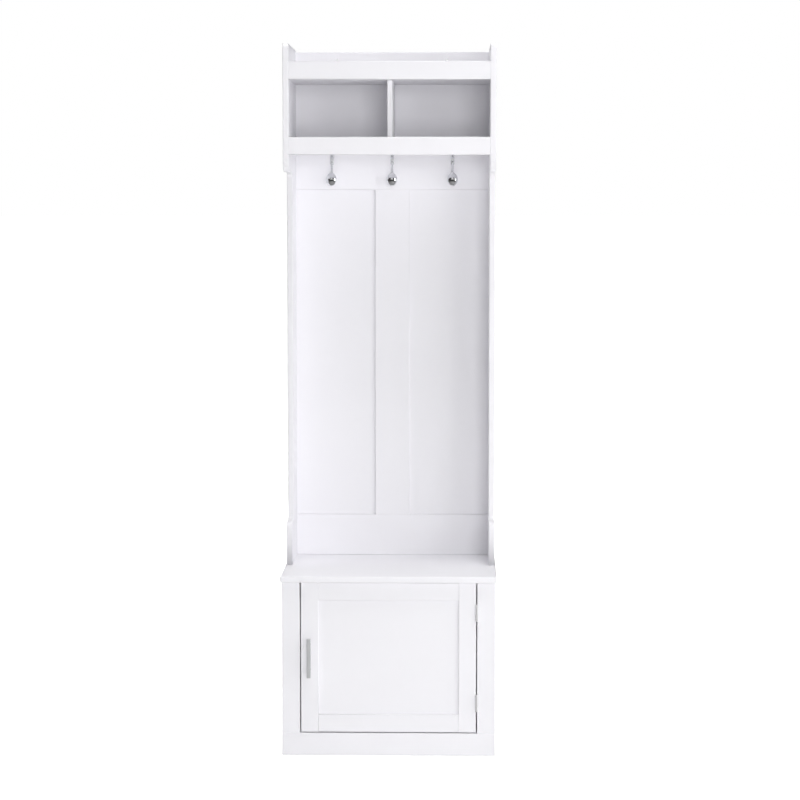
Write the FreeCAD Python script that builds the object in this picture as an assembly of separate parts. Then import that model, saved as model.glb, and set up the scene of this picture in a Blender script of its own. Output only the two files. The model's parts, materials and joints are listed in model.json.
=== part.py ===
import FreeCAD, Part
import math
import os

# A hall tree: a bench cabinet with one hinged door, a framed back with three coat
# hooks above it, and two cubbies under a lipped top shelf.
# Millimetres. +Z is up, the front faces -Y, and +X is to the right of someone facing it.
# Depths are measured forward from the wall plane. The origin is on the floor, under the
# middle of the overall box, whose front is the handle's bar.

# Overall
HEIGHT = 1800.0
BODY_WIDTH = 540.0
BOARD = 15.0
SLIM_PANEL = 5.0
HIDDEN_PANEL = 3.0
GROOVE = 8.0
SIDE_GROOVE = 6.0

# Bench top
BENCH_WIDTH = 546.0
BENCH_DEPTH = 400.0
BENCH_THICKNESS = 16.0
SEAT_HEIGHT = 460.5
BENCH_OVERHANG = 12.0

# Bench cabinet
GLIDE_HEIGHT = 2.0
GLIDE_RADIUS = 7.0
GLIDE_INSET = 30.0
PLINTH_HEIGHT = 59.0
PLINTH_THICKNESS = 20.0
STILE_WIDTH = 46.0
FACE_THICKNESS = 16.0
STRETCHER_WIDTH = 60.0
STRETCHER_SETBACK = 10.0
SHELF_SETBACK = 27.0
SHELF_PLAY = 1.0
SHELF_TOP = 258.0
PIN_RADIUS = 2.5
PIN_LENGTH = 18.0
PIN_HOLE_STEP = 32.0
PIN_INSET = 50.0

# Door
DOOR_GAP = 2.5
DOOR_TOP_GAP = 1.5
DOOR_STILE = 44.0
DOOR_RAIL = 45.0
DOOR_RECESS = 6.0
HANDLE_X = -200.5
HANDLE_Z = 254.0
HANDLE_LENGTH = 100.0
HANDLE_WIDTH = 10.0
HANDLE_BAR = 8.0
HANDLE_REACH = 28.0
HANDLE_CENTRES = 64.0
HANDLE_POST_RADIUS = 4.0
HANDLE_SCREW_BITE = 8.0
HANDLE_SCREW_HEAD = 3.5

# Butt hinges
HINGE_HEIGHT = 42.0
HINGE_FROM_END = 75.0
HINGE_LEAF = 1.1
HINGE_LEAF_DEPTH = 15.0
KNUCKLE_RADIUS = 2.75
KNUCKLE_PROUD = 3.1
HINGE_PIN_RADIUS = 1.5
HINGE_PIN_CAP = 1.2
HINGE_PIN_CAP_RADIUS = 2.25
HINGE_SCREW_RISE = 13.0
HINGE_SCREW_LENGTH = 13.0
RUNNING_PLAY = 0.05
MOVING_GAP = 0.3

# Magnetic catch
CATCH_X = -127.0
CATCH_WIDTH = 46.0
CATCH_DEPTH = 20.0
CATCH_HEIGHT = 14.0
MAGNET_WIDTH = 24.0
MAGNET_HEIGHT = 8.0
MAGNET_COVER = 5.0
STRIKE_WIDTH = 40.0
STRIKE_THICKNESS = 1.2
CATCH_SCREW_INSET = 5.0

# Upper unit
CUBBY_DEPTH = 285.0
BAY_DEPTH = 140.0
FOOT_DEPTH = 205.0
CUBBY_NOSE_Z = 1507.0
NOSE_RADIUS = 30.0
COVE_RADIUS = 15.0
FOOT_TOP_Z = 572.5
FOOT_RADIUS = 10.0
FOOT_COVE = 8.0
TOP_CORNER = 10.0
LIP_HEIGHT = 45.0
TOP_LIP_BOTTOM = 1709.5
CUBBY_LIP_BOTTOM = 1520.0
DIVIDER_DEPTH = 230.0
BACK_TOP_Z = 1795.0
HOOK_RAIL_BOTTOM = 1434.0
LOW_RAIL_TOP = 569.0
MUNTIN_WIDTH = 90.0
WALL_HOLE_SPACING = 289.0
WALL_HOLE_Z = 1774.5
WALL_HOLE_RADIUS = 2.5

# Hooks
HOOK_SPACING = 159.5
HOOK_SCREW_Z = (1523.5, 1508.5)
HOOK_PLATE_WIDTH = 9.0
HOOK_PLATE_THICKNESS = 2.5
HOOK_PLATE_TOP = 1531.5
HOOK_PLATE_BOTTOM = 1498.5
HOOK_ROD_RADIUS = 2.5
HOOK_BEND = 20.0
HOOK_KNOB_Z = 1460.5
HOOK_KNOB_DEPTH = 50.0
KNOB_HALF_WIDTH = 13.5
KNOB_HALF_THICKNESS = 7.0
KNOB_HALF_HEIGHT = 17.5
KNOB_SOCKET = 4.0

# Fasteners
DOWEL_RADIUS = 3.0
DOWEL_LENGTH = 24.0
FLOOR_DOWEL_DEPTH = 100.0
STILE_DOWEL_INSET = 60.0
SIDE_DOWEL_DEPTHS = (90.0, 175.0)
BOARD_DOWEL_DEPTHS = (60.0, 180.0)
LIP_DOWEL_X = (-200.0, 0.0, 200.0)
RAIL_DOWEL_FROM_EDGE = 40.0
LOW_DOWEL_FROM_EDGE = 25.0
CAM_RADIUS = 7.5
CAM_HEIGHT = 11.0
CAM_INSET = 24.0
CAM_DEPTH = 55.0
CAM_BOLT_RADIUS = 2.5
CAM_BOLT_EMBED = 10.0
POCKET_PLAY = 0.1
WOOD_SCREW_RADIUS = 1.5
WOOD_SCREW_HEAD = 3.0
WOOD_SCREW_BITE = 11.0
ROUND_HEAD_HEIGHT = 1.6
TOWER_SCREW_LENGTH = 45.0
TOWER_SCREW_DEPTHS = (30.0, 135.0)

# Edge rounding
BENCH_EDGE = 3.0
SIDE_EDGE = 2.0
BOARD_EDGE = 1.5
DOOR_EDGE = 0.8
JOINT_EDGE = 0.4
TOUCH = 0.01

# Places worked out from the sizes above
BACK_Y = (BENCH_DEPTH - BENCH_OVERHANG + HANDLE_REACH) / 2
HALF = BODY_WIDTH / 2
INNER = HALF - BOARD
BENCH_UNDER = SEAT_HEIGHT - BENCH_THICKNESS
FACE_FRONT = BENCH_DEPTH - BENCH_OVERHANG
FACE_BACK = FACE_FRONT - FACE_THICKNESS
OPENING = HALF - STILE_WIDTH
DOOR_HALF = OPENING - DOOR_GAP
DOOR_BOTTOM = PLINTH_HEIGHT + DOOR_GAP
DOOR_TOP = BENCH_UNDER - DOOR_TOP_GAP
FLOOR_PANEL_BOTTOM = PLINTH_HEIGHT - BOARD
HINGE_X = (OPENING + DOOR_HALF) / 2
HINGE_DEPTH = FACE_FRONT + KNUCKLE_PROUD
HINGE_CENTRES = {"lower": DOOR_BOTTOM + HINGE_FROM_END, "upper": DOOR_TOP - HINGE_FROM_END}
STRETCHER_BOTTOM = BENCH_UNDER - BOARD
TOP_SHELF_TOP = TOP_LIP_BOTTOM + BOARD
CUBBY_FLOOR_TOP = CUBBY_LIP_BOTTOM + LIP_HEIGHT
CUBBY_FLOOR_BOTTOM = CUBBY_FLOOR_TOP - BOARD
LIP_BACK = CUBBY_DEPTH - BOARD
PANEL_FRONT = HIDDEN_PANEL + SLIM_PANEL
HOOK_ROD_DEPTH = BOARD + HOOK_PLATE_THICKNESS / 2
HOOK_X = {"left": -HOOK_SPACING, "center": 0.0, "right": HOOK_SPACING}

RIGHT = FreeCAD.Vector(1, 0, 0)
FORWARD = FreeCAD.Vector(0, -1, 0)
REARWARD = FreeCAD.Vector(0, 1, 0)
UP = FreeCAD.Vector(0, 0, 1)
DOWN = FreeCAD.Vector(0, 0, -1)
SIDES = {"left": -1, "right": 1}


# ---------------------------------------------------------------- helpers

def place(x, depth, z):
    """Point at this depth in front of the wall plane."""
    return FreeCAD.Vector(x, BACK_Y - depth, z)


def block(x, depth, z):
    """Box from a pair of X values, a pair of depths and a pair of heights."""
    low_x, high_x = sorted(x)
    low_depth, high_depth = sorted(depth)
    low_z, high_z = sorted(z)
    corner = place(low_x, high_depth, low_z)
    return Part.makeBox(high_x - low_x, high_depth - low_depth, high_z - low_z, corner)


def rod(start, direction, length, radius):
    """Round bar from a point along a direction."""
    return Part.makeCylinder(radius, length, start, direction)


def spans(low, high, value):
    """True when a range has no width and lies at the value."""
    return abs(low - value) < TOUCH and abs(high - value) < TOUCH


def at_depth(edge, depth):
    """True when the whole edge lies at this depth."""
    return spans(edge.BoundBox.YMin, edge.BoundBox.YMax, BACK_Y - depth)


def at_height(edge, z):
    """True when the whole edge lies at this height."""
    return spans(edge.BoundBox.ZMin, edge.BoundBox.ZMax, z)


def at_x(edge, x):
    """True when the whole edge lies at this X."""
    return spans(edge.BoundBox.XMin, edge.BoundBox.XMax, x)


def eased(shape, radius, chosen):
    """Round the edges that the test picks."""
    return shape.makeFillet(radius, [edge for edge in shape.Edges if chosen(edge)])


def eased_long_front(shape, depth, heights, radius):
    """Round a rail's front edges that run along X."""
    return eased(shape, radius, lambda edge: at_depth(edge, depth)
                 and any(at_height(edge, z) for z in heights))


def eased_upright_front(shape, depth, positions, radius):
    """Round an upright's front edges that run along Z."""
    return eased(shape, radius, lambda edge: at_depth(edge, depth)
                 and any(at_x(edge, x) for x in positions))


def bored(board, pockets):
    """Cut out of a board every pocket that reaches it."""
    meeting = [pocket for pocket in pockets if pocket.BoundBox.intersect(board.BoundBox)]
    return board.cut(meeting) if meeting else board


def countersunk(point, into, length, play=0.0):
    """Wood screw whose flat head is level with the point."""
    head_height = WOOD_SCREW_HEAD - WOOD_SCREW_RADIUS
    head = Part.makeCone(WOOD_SCREW_HEAD + play, WOOD_SCREW_RADIUS + play, head_height, point, into)
    return head.fuse(rod(point, into, length + play, WOOD_SCREW_RADIUS + play))


def round_head(point, into, length, head_radius, play=0.0):
    """Screw whose round head stands on the surface at the point."""
    shank = rod(point, into, length + play, WOOD_SCREW_RADIUS + play)
    head = rod(point - into * ROUND_HEAD_HEIGHT, into, ROUND_HEAD_HEIGHT, head_radius)
    return head.fuse(shank)


# ---------------------------------------------------------------- bench cabinet

def base_side(hand):
    """Cabinet side with a rebate for the back and three rows of shelf pin holes."""
    x = (hand * INNER, hand * HALF)
    side = block(x, (0, FACE_BACK), (GLIDE_HEIGHT, BENCH_UNDER))
    rebate = block((hand * INNER, hand * (INNER + SIDE_GROOVE)), (0, HIDDEN_PANEL),
                   (FLOOR_PANEL_BOTTOM, BENCH_UNDER))
    holes = []
    for row in (-1, 0, 1):
        for depth in shelf_pin_depths():
            holes.append(pin_shape(hand, depth, row * PIN_HOLE_STEP, RUNNING_PLAY))
    return side.cut([rebate] + holes)


def shelf_pin_depths():
    """Depths of the rear and front rows of shelf pins."""
    return (PIN_INSET, FACE_BACK - SHELF_SETBACK - PIN_INSET)


def pin_shape(hand, depth, rise, play=0.0):
    """Shelf pin, half in the side and half under the shelf."""
    z = SHELF_TOP - BOARD - PIN_RADIUS + rise
    outer = hand * (INNER + PIN_LENGTH / 2 + play)
    return rod(place(outer, depth, z), RIGHT * -hand, PIN_LENGTH, PIN_RADIUS + play)


def shelf_pins():
    """The four pins that carry the inner shelf."""
    pins = [pin_shape(hand, depth, 0) for hand in SIDES.values() for depth in shelf_pin_depths()]
    return Part.makeCompound(pins)


def inner_shelf():
    """Loose shelf, half-way up the cabinet."""
    half = INNER - SHELF_PLAY
    return block((-half, half), (HIDDEN_PANEL + SHELF_PLAY, FACE_BACK - SHELF_SETBACK),
                 (SHELF_TOP - BOARD, SHELF_TOP))


def base_bottom():
    """Cabinet floor."""
    return block((-INNER, INNER), (HIDDEN_PANEL, FACE_BACK), (FLOOR_PANEL_BOTTOM, PLINTH_HEIGHT))


def base_back():
    """Thin back in the sides' rebates."""
    return block((-INNER - SIDE_GROOVE, INNER + SIDE_GROOVE), (0, HIDDEN_PANEL),
                 (FLOOR_PANEL_BOTTOM, BENCH_UNDER))


def face_stile(hand):
    """Upright beside the door, over the side's front edge."""
    x = (hand * OPENING, hand * HALF)
    stile = block(x, (FACE_BACK, FACE_FRONT), (PLINTH_HEIGHT, BENCH_UNDER))
    return eased_upright_front(stile, FACE_FRONT, x, DOOR_EDGE)


def plinth_front():
    """Plinth board, a little proud of the stiles."""
    front = FACE_BACK + PLINTH_THICKNESS
    board = block((-HALF, HALF), (FACE_BACK, front), (GLIDE_HEIGHT, PLINTH_HEIGHT))
    return eased(board, BOARD_EDGE, lambda edge: at_depth(edge, front) and not at_height(edge, GLIDE_HEIGHT))


def plinth_rear():
    """Board under the cabinet floor at the back."""
    return block((-INNER, INNER), (BOARD, 2 * BOARD), (GLIDE_HEIGHT, FLOOR_PANEL_BOTTOM))


def stretcher(depth):
    """Flat strip under the bench top, from this depth forward."""
    return block((-INNER, INNER), (depth, depth + STRETCHER_WIDTH), (STRETCHER_BOTTOM, BENCH_UNDER))


def bench_top():
    """Seat board with rounded front and side edges."""
    half = BENCH_WIDTH / 2
    board = block((-half, half), (0, BENCH_DEPTH), (BENCH_UNDER, SEAT_HEIGHT))
    return eased(board, BENCH_EDGE, lambda edge: not at_depth(edge, 0)
                 and edge.BoundBox.YMax < BACK_Y + TOUCH)


def foot_glides():
    """Round pads under the sides' corners."""
    centre = (HALF + INNER) / 2
    pads = [rod(place(hand * centre, depth, 0), UP, GLIDE_HEIGHT, GLIDE_RADIUS)
            for hand in SIDES.values() for depth in (GLIDE_INSET, FACE_BACK - GLIDE_INSET)]
    return Part.makeCompound(pads)


# ---------------------------------------------------------------- door

def door_stile(hand):
    """Full-height upright of the door frame."""
    x = (hand * (DOOR_HALF - DOOR_STILE), hand * DOOR_HALF)
    stile = block(x, (FACE_BACK, FACE_FRONT), (DOOR_BOTTOM, DOOR_TOP))
    return eased_upright_front(stile, FACE_FRONT, x, DOOR_EDGE)


def door_rail(bottom):
    """Rail of the door frame, between the stiles."""
    half = DOOR_HALF - DOOR_STILE
    heights = (bottom, bottom + DOOR_RAIL)
    rail = block((-half, half), (FACE_BACK, FACE_FRONT), heights)
    rail = eased_long_front(rail, FACE_FRONT, heights, DOOR_EDGE)
    return eased(rail, JOINT_EDGE, lambda edge: at_x(edge, half) and at_depth(edge, FACE_FRONT)
                 or at_x(edge, -half) and at_depth(edge, FACE_FRONT))


def door_panel():
    """Thin recessed panel held in the frame's grooves."""
    half = DOOR_HALF - DOOR_STILE + GROOVE
    front = FACE_FRONT - DOOR_RECESS
    return block((-half, half), (front - SLIM_PANEL, front),
                 (DOOR_BOTTOM + DOOR_RAIL - GROOVE, DOOR_TOP - DOOR_RAIL + GROOVE))


def handle_post_heights():
    """Heights of the handle's two posts."""
    return (HANDLE_Z - HANDLE_CENTRES / 2, HANDLE_Z + HANDLE_CENTRES / 2)


def door_handle():
    """Upright bar pull on two posts."""
    outer = FACE_FRONT + HANDLE_REACH
    half = HANDLE_WIDTH / 2
    bar = block((HANDLE_X - half, HANDLE_X + half), (outer - HANDLE_BAR, outer),
                (HANDLE_Z - HANDLE_LENGTH / 2, HANDLE_Z + HANDLE_LENGTH / 2))
    bar = eased(bar, BOARD_EDGE, lambda edge: not at_depth(edge, outer - HANDLE_BAR))
    post_length = HANDLE_REACH - HANDLE_BAR / 2
    posts = [rod(place(HANDLE_X, FACE_FRONT, z), FORWARD, post_length, HANDLE_POST_RADIUS)
             for z in handle_post_heights()]
    return bar.fuse(posts).removeSplitter()


def handle_screws(play=0.0):
    """Screws from inside the door into the handle's posts."""
    length = FACE_THICKNESS + HANDLE_SCREW_BITE
    return [round_head(place(HANDLE_X, FACE_BACK, z), FORWARD, length, HANDLE_SCREW_HEAD, play)
            for z in handle_post_heights()]


# ---------------------------------------------------------------- hinges

def hinge_segments(owner):
    """Height ranges of a leaf's knuckles, from the bottom of the hinge: two outer or one middle."""
    third = HINGE_HEIGHT / 3
    gap = MOVING_GAP / 2
    if owner == "frame":
        return [(0, third - gap), (2 * third + gap, HINGE_HEIGHT)]
    return [(third + gap, 2 * third - gap)]


def hinge_leaf(owner, centre_z):
    """Leaf plate on the edge of the door or the stile, with its knuckles bored for the pin."""
    hand = 1 if owner == "frame" else -1
    other = "door" if owner == "frame" else "frame"
    base_z = centre_z - HINGE_HEIGHT / 2
    wood_x = OPENING if owner == "frame" else DOOR_HALF
    leaf = block((wood_x, wood_x - hand * HINGE_LEAF), (FACE_FRONT - HINGE_LEAF_DEPTH, HINGE_DEPTH),
                 (base_z, base_z + HINGE_HEIGHT))
    for low, high in hinge_segments(other):
        start = place(HINGE_X, HINGE_DEPTH, base_z + low - MOVING_GAP)
        leaf = leaf.cut(rod(start, UP, high - low + 2 * MOVING_GAP, KNUCKLE_RADIUS + MOVING_GAP))
    for low, high in hinge_segments(owner):
        leaf = leaf.fuse(rod(place(HINGE_X, HINGE_DEPTH, base_z + low), UP, high - low, KNUCKLE_RADIUS))
    bore = rod(place(HINGE_X, HINGE_DEPTH, base_z - 1), UP, HINGE_HEIGHT + 2, HINGE_PIN_RADIUS + RUNNING_PLAY)
    return leaf.cut(bore)


def hinge_pin(centre_z):
    """Pin with a round head at the top and at the bottom."""
    low = centre_z - HINGE_HEIGHT / 2
    pin = rod(place(HINGE_X, HINGE_DEPTH, low), UP, HINGE_HEIGHT, HINGE_PIN_RADIUS)
    for z in (low - HINGE_PIN_CAP, low + HINGE_HEIGHT):
        pin = pin.fuse(rod(place(HINGE_X, HINGE_DEPTH, z), UP, HINGE_PIN_CAP, HINGE_PIN_CAP_RADIUS))
    return pin.removeSplitter()


def hinge_screws(owner, play=0.0):
    """Two countersunk screws through each of the owner's leaves."""
    hand = 1 if owner == "frame" else -1
    wood_x = OPENING if owner == "frame" else DOOR_HALF
    head_x = wood_x - hand * (HINGE_LEAF - TOUCH)
    screws = []
    for centre_z in HINGE_CENTRES.values():
        for rise in (-HINGE_SCREW_RISE, HINGE_SCREW_RISE):
            point = place(head_x, FACE_FRONT - HINGE_LEAF_DEPTH / 2, centre_z + rise)
            screws.append(countersunk(point, RIGHT * hand, HINGE_SCREW_LENGTH, play))
    return screws


# ---------------------------------------------------------------- magnetic catch

def catch_span():
    """Depth range of the catch, just short of the strike plate."""
    front = FACE_BACK - STRIKE_THICKNESS - MOVING_GAP
    return (front - CATCH_DEPTH, front)


def catch_housing():
    """Catch body under the front stretcher, open at the front for its magnet."""
    body = block((CATCH_X - CATCH_WIDTH / 2, CATCH_X + CATCH_WIDTH / 2), catch_span(),
                 (STRETCHER_BOTTOM - CATCH_HEIGHT, STRETCHER_BOTTOM))
    return body.cut([catch_magnet()] + catch_screws(POCKET_PLAY))


def catch_magnet():
    """Magnet block, level with the housing's face."""
    middle = STRETCHER_BOTTOM - CATCH_HEIGHT / 2
    back, front = catch_span()
    return block((CATCH_X - MAGNET_WIDTH / 2, CATCH_X + MAGNET_WIDTH / 2), (back + MAGNET_COVER, front),
                 (middle - MAGNET_HEIGHT / 2, middle + MAGNET_HEIGHT / 2))


def catch_screws(play=0.0):
    """Screws that hold the housing up to the stretcher."""
    middle = sum(catch_span()) / 2
    inset = CATCH_WIDTH / 2 - CATCH_SCREW_INSET
    return [countersunk(place(CATCH_X + side * inset, middle, STRETCHER_BOTTOM - CATCH_HEIGHT), UP,
                        CATCH_HEIGHT + WOOD_SCREW_BITE, play) for side in (-1, 1)]


def strike_plate():
    """Steel plate on the back of the door."""
    middle = STRETCHER_BOTTOM - CATCH_HEIGHT / 2
    plate = block((CATCH_X - STRIKE_WIDTH / 2, CATCH_X + STRIKE_WIDTH / 2),
                  (FACE_BACK - STRIKE_THICKNESS, FACE_BACK),
                  (middle - CATCH_HEIGHT / 2, middle + CATCH_HEIGHT / 2))
    return plate.cut(strike_screws(POCKET_PLAY))


def strike_screws(play=0.0):
    """Two screws near the strike plate's ends."""
    middle = STRETCHER_BOTTOM - CATCH_HEIGHT / 2
    inset = STRIKE_WIDTH / 2 - CATCH_SCREW_INSET
    return [countersunk(place(CATCH_X + side * inset, FACE_BACK - STRIKE_THICKNESS + TOUCH, middle),
                        FORWARD, WOOD_SCREW_BITE, play) for side in (-1, 1)]


# ---------------------------------------------------------------- upper unit

def quarter(x, centre, radius, start_angle):
    """Quarter arc in the side's plane; angles are measured from forward towards up."""
    points = []
    for share in (0.0, 0.5, 1.0):
        angle = math.radians(start_angle[0] + share * (start_angle[1] - start_angle[0]))
        points.append(place(x, centre[0] + radius * math.cos(angle), centre[1] + radius * math.sin(angle)))
    return Part.Arc(*points).toShape()


def side_outline(x):
    """Closed outline of an upper side: foot, bay edge, cove, nose and top corner."""
    soffit = CUBBY_NOSE_Z - NOSE_RADIUS
    arcs = [
        quarter(x, (FOOT_DEPTH - FOOT_RADIUS, FOOT_TOP_Z - FOOT_RADIUS), FOOT_RADIUS, (0, 90)),
        quarter(x, (BAY_DEPTH + FOOT_COVE, FOOT_TOP_Z + FOOT_COVE), FOOT_COVE, (270, 180)),
        quarter(x, (BAY_DEPTH + COVE_RADIUS, soffit - COVE_RADIUS), COVE_RADIUS, (180, 90)),
        quarter(x, (CUBBY_DEPTH - NOSE_RADIUS, CUBBY_NOSE_Z), NOSE_RADIUS, (270, 360)),
        quarter(x, (CUBBY_DEPTH - TOP_CORNER, HEIGHT - TOP_CORNER), TOP_CORNER, (0, 90)),
    ]
    corners = [place(x, 0, HEIGHT), place(x, 0, SEAT_HEIGHT), place(x, FOOT_DEPTH, SEAT_HEIGHT)]
    edges = []
    last = corners[-1]
    for arc in arcs:
        start, end = arc.Curve.value(arc.FirstParameter), arc.Curve.value(arc.LastParameter)
        edges.append(Part.makeLine(last, start))
        edges.append(arc)
        last = end
    for corner in corners:
        edges.append(Part.makeLine(last, corner))
        last = corner
    return Part.Wire(edges)


def upper_side(hand):
    """Profiled side of the upper unit, its front and top edges rounded."""
    low_x = min(hand * INNER, hand * HALF)
    side = Part.Face(side_outline(low_x)).extrude(RIGHT * BOARD)
    return eased(side, SIDE_EDGE, lambda edge: (at_x(edge, hand * INNER) or at_x(edge, hand * HALF))
                 and not at_depth(edge, 0) and not at_height(edge, SEAT_HEIGHT))


def shelf_board(bottom):
    """Full-width board of the upper unit, behind its lip."""
    return block((-INNER, INNER), (0, LIP_BACK), (bottom, bottom + BOARD))


def lip(bottom):
    """Edging board between the sides, in front of a shelf board."""
    heights = (bottom, bottom + LIP_HEIGHT)
    board = block((-INNER, INNER), (LIP_BACK, CUBBY_DEPTH), heights)
    board = eased_long_front(board, CUBBY_DEPTH, heights, BOARD_EDGE)
    return eased(board, JOINT_EDGE, lambda edge: at_depth(edge, CUBBY_DEPTH)
                 and (at_x(edge, INNER) or at_x(edge, -INNER)))


def cubby_divider():
    """Upright board between the two cubbies."""
    x = (-BOARD / 2, BOARD / 2)
    board = block(x, (PANEL_FRONT, DIVIDER_DEPTH), (CUBBY_FLOOR_TOP, TOP_LIP_BOTTOM))
    return eased_upright_front(board, DIVIDER_DEPTH, x, BOARD_EDGE)


def top_back_rail():
    """Board behind the top shelf, with the two wall-fixing holes."""
    rail = block((-INNER, INNER), (0, BOARD), (TOP_SHELF_TOP, BACK_TOP_Z))
    rail = eased_long_front(rail, BOARD, (BACK_TOP_Z,), BOARD_EDGE)
    holes = [rod(place(side * WALL_HOLE_SPACING / 2, 0, WALL_HOLE_Z), FORWARD, BOARD, WALL_HOLE_RADIUS)
             for side in (-1, 1)]
    return rail.cut(holes)


def cubby_back_panel():
    """Thin back of the cubbies, let into the boards around it."""
    return block((-INNER - SLIM_PANEL, INNER + SLIM_PANEL), (HIDDEN_PANEL, PANEL_FRONT),
                 (CUBBY_FLOOR_TOP - SLIM_PANEL, TOP_LIP_BOTTOM + SLIM_PANEL))


def back_rail(bottom, top):
    """Rail of the framed back, between the sides."""
    rail = block((-INNER, INNER), (0, BOARD), (bottom, top))
    return eased_long_front(rail, BOARD, (bottom, top), DOOR_EDGE)


def back_muntin():
    """Middle upright of the framed back, with a tongue into each rail."""
    half = MUNTIN_WIDTH / 2
    upright = block((-half, half), (0, BOARD), (LOW_RAIL_TOP, HOOK_RAIL_BOTTOM))
    upright = eased_upright_front(upright, BOARD, (-half, half), DOOR_EDGE)
    tongue = block((-half, half), (HIDDEN_PANEL, PANEL_FRONT),
                   (LOW_RAIL_TOP - GROOVE, HOOK_RAIL_BOTTOM + GROOVE))
    return upright.fuse(tongue)


def back_panel(hand):
    """Recessed panel beside the muntin."""
    return block((hand * (INNER + SIDE_GROOVE), hand * (MUNTIN_WIDTH / 2 - GROOVE)),
                 (HIDDEN_PANEL, PANEL_FRONT), (LOW_RAIL_TOP - GROOVE, HOOK_RAIL_BOTTOM + GROOVE))


# ---------------------------------------------------------------- hooks

def hook_rod_wire(x):
    """Centre line of a hook's rod: down the plate, round the bend and forward to the knob."""
    bend_z = HOOK_KNOB_Z + HOOK_BEND
    swing = HOOK_BEND * (1 - math.cos(math.radians(45)))
    top = place(x, HOOK_ROD_DEPTH, HOOK_PLATE_BOTTOM + HOOK_PLATE_WIDTH / 2)
    bend_start = place(x, HOOK_ROD_DEPTH, bend_z)
    bend_middle = place(x, HOOK_ROD_DEPTH + swing, bend_z - HOOK_BEND + swing)
    bend_end = place(x, HOOK_ROD_DEPTH + HOOK_BEND, HOOK_KNOB_Z)
    end = place(x, HOOK_KNOB_DEPTH - KNOB_HALF_THICKNESS + KNOB_SOCKET, HOOK_KNOB_Z)
    arc = Part.Arc(bend_start, bend_middle, bend_end).toShape()
    return Part.Wire([Part.makeLine(top, bend_start), arc, Part.makeLine(bend_end, end)])


def hook(x):
    """Screw plate and bent rod of one hook."""
    half = HOOK_PLATE_WIDTH / 2
    plate_depths = (BOARD, BOARD + HOOK_PLATE_THICKNESS)
    plate = block((x - half, x + half), plate_depths, (HOOK_PLATE_BOTTOM + half, HOOK_PLATE_TOP - half))
    ends = [rod(place(x, BOARD, z), FORWARD, HOOK_PLATE_THICKNESS, half)
            for z in (HOOK_PLATE_BOTTOM + half, HOOK_PLATE_TOP - half)]
    section = Part.Wire(Part.makeCircle(HOOK_ROD_RADIUS - TOUCH, hook_rod_wire(x).Vertexes[0].Point, UP))
    bent = hook_rod_wire(x).makePipeShell([section], True, True)
    wall = block((x - half, x + half), (0, BOARD), (HOOK_KNOB_Z, HOOK_PLATE_TOP))
    return plate.fuse(ends + [bent]).cut(wall).removeSplitter()


def hook_knob(x):
    """Oval knob pressed on the end of the hook's rod."""
    shape = FreeCAD.Matrix()
    shape.scale(KNOB_HALF_WIDTH, KNOB_HALF_THICKNESS, KNOB_HALF_HEIGHT)
    knob = Part.makeSphere(1.0).transformGeometry(shape)
    knob.translate(place(x, HOOK_KNOB_DEPTH, HOOK_KNOB_Z))
    socket = rod(place(x, HOOK_ROD_DEPTH + HOOK_BEND, HOOK_KNOB_Z), FORWARD,
                 HOOK_KNOB_DEPTH - KNOB_HALF_THICKNESS + KNOB_SOCKET - HOOK_ROD_DEPTH - HOOK_BEND,
                 HOOK_ROD_RADIUS)
    return knob.cut(socket)


def hook_screws(play=0.0):
    """Two round-headed screws through each hook's plate."""
    surface = BOARD + HOOK_PLATE_THICKNESS
    return [round_head(place(x, surface, z), REARWARD, HOOK_PLATE_THICKNESS + WOOD_SCREW_BITE,
                       WOOD_SCREW_HEAD, play) for x in HOOK_X.values() for z in HOOK_SCREW_Z]


# ---------------------------------------------------------------- joint hardware

def dowel(centre, axis, play=0.0):
    """Wooden dowel centred on a joint."""
    half = DOWEL_LENGTH / 2 + play
    return rod(centre - axis * half, axis, 2 * half, DOWEL_RADIUS + play)


def base_dowels(play=0.0):
    """Dowels of the cabinet: floor to sides, and stiles to sides."""
    edge = (HALF + INNER) / 2
    dowels = []
    for hand in SIDES.values():
        for depth in (FLOOR_DOWEL_DEPTH, FACE_BACK - FLOOR_DOWEL_DEPTH):
            centre = place(hand * (INNER + 2), depth, FLOOR_PANEL_BOTTOM + BOARD / 2)
            dowels.append(dowel(centre, RIGHT, play))
        for z in (PLINTH_HEIGHT + STILE_DOWEL_INSET, BENCH_UNDER - STILE_DOWEL_INSET):
            dowels.append(dowel(place(hand * edge, FACE_BACK, z), FORWARD, play))
    return dowels


def upper_dowels(play=0.0):
    """Dowels of the upper unit: sides to bench, rails to sides, lips and divider to boards."""
    edge = (HALF + INNER) / 2
    rail_heights = (LOW_RAIL_TOP - RAIL_DOWEL_FROM_EDGE, SEAT_HEIGHT + LOW_DOWEL_FROM_EDGE,
                    HOOK_RAIL_BOTTOM + RAIL_DOWEL_FROM_EDGE, CUBBY_FLOOR_BOTTOM - LOW_DOWEL_FROM_EDGE,
                    TOP_SHELF_TOP + LOW_DOWEL_FROM_EDGE)
    dowels = []
    for hand in SIDES.values():
        for depth in SIDE_DOWEL_DEPTHS:
            dowels.append(dowel(place(hand * edge, depth, SEAT_HEIGHT), UP, play))
        for z in rail_heights:
            dowels.append(dowel(place(hand * (INNER + 1), BOARD / 2, z), RIGHT, play))
    for bottom in (TOP_LIP_BOTTOM, CUBBY_FLOOR_BOTTOM):
        for x in LIP_DOWEL_X:
            dowels.append(dowel(place(x, LIP_BACK, bottom + BOARD / 2), FORWARD, play))
    for z in (CUBBY_FLOOR_TOP, TOP_LIP_BOTTOM):
        for depth in BOARD_DOWEL_DEPTHS:
            dowels.append(dowel(place(0, depth, z), UP, play))
    return dowels


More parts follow.
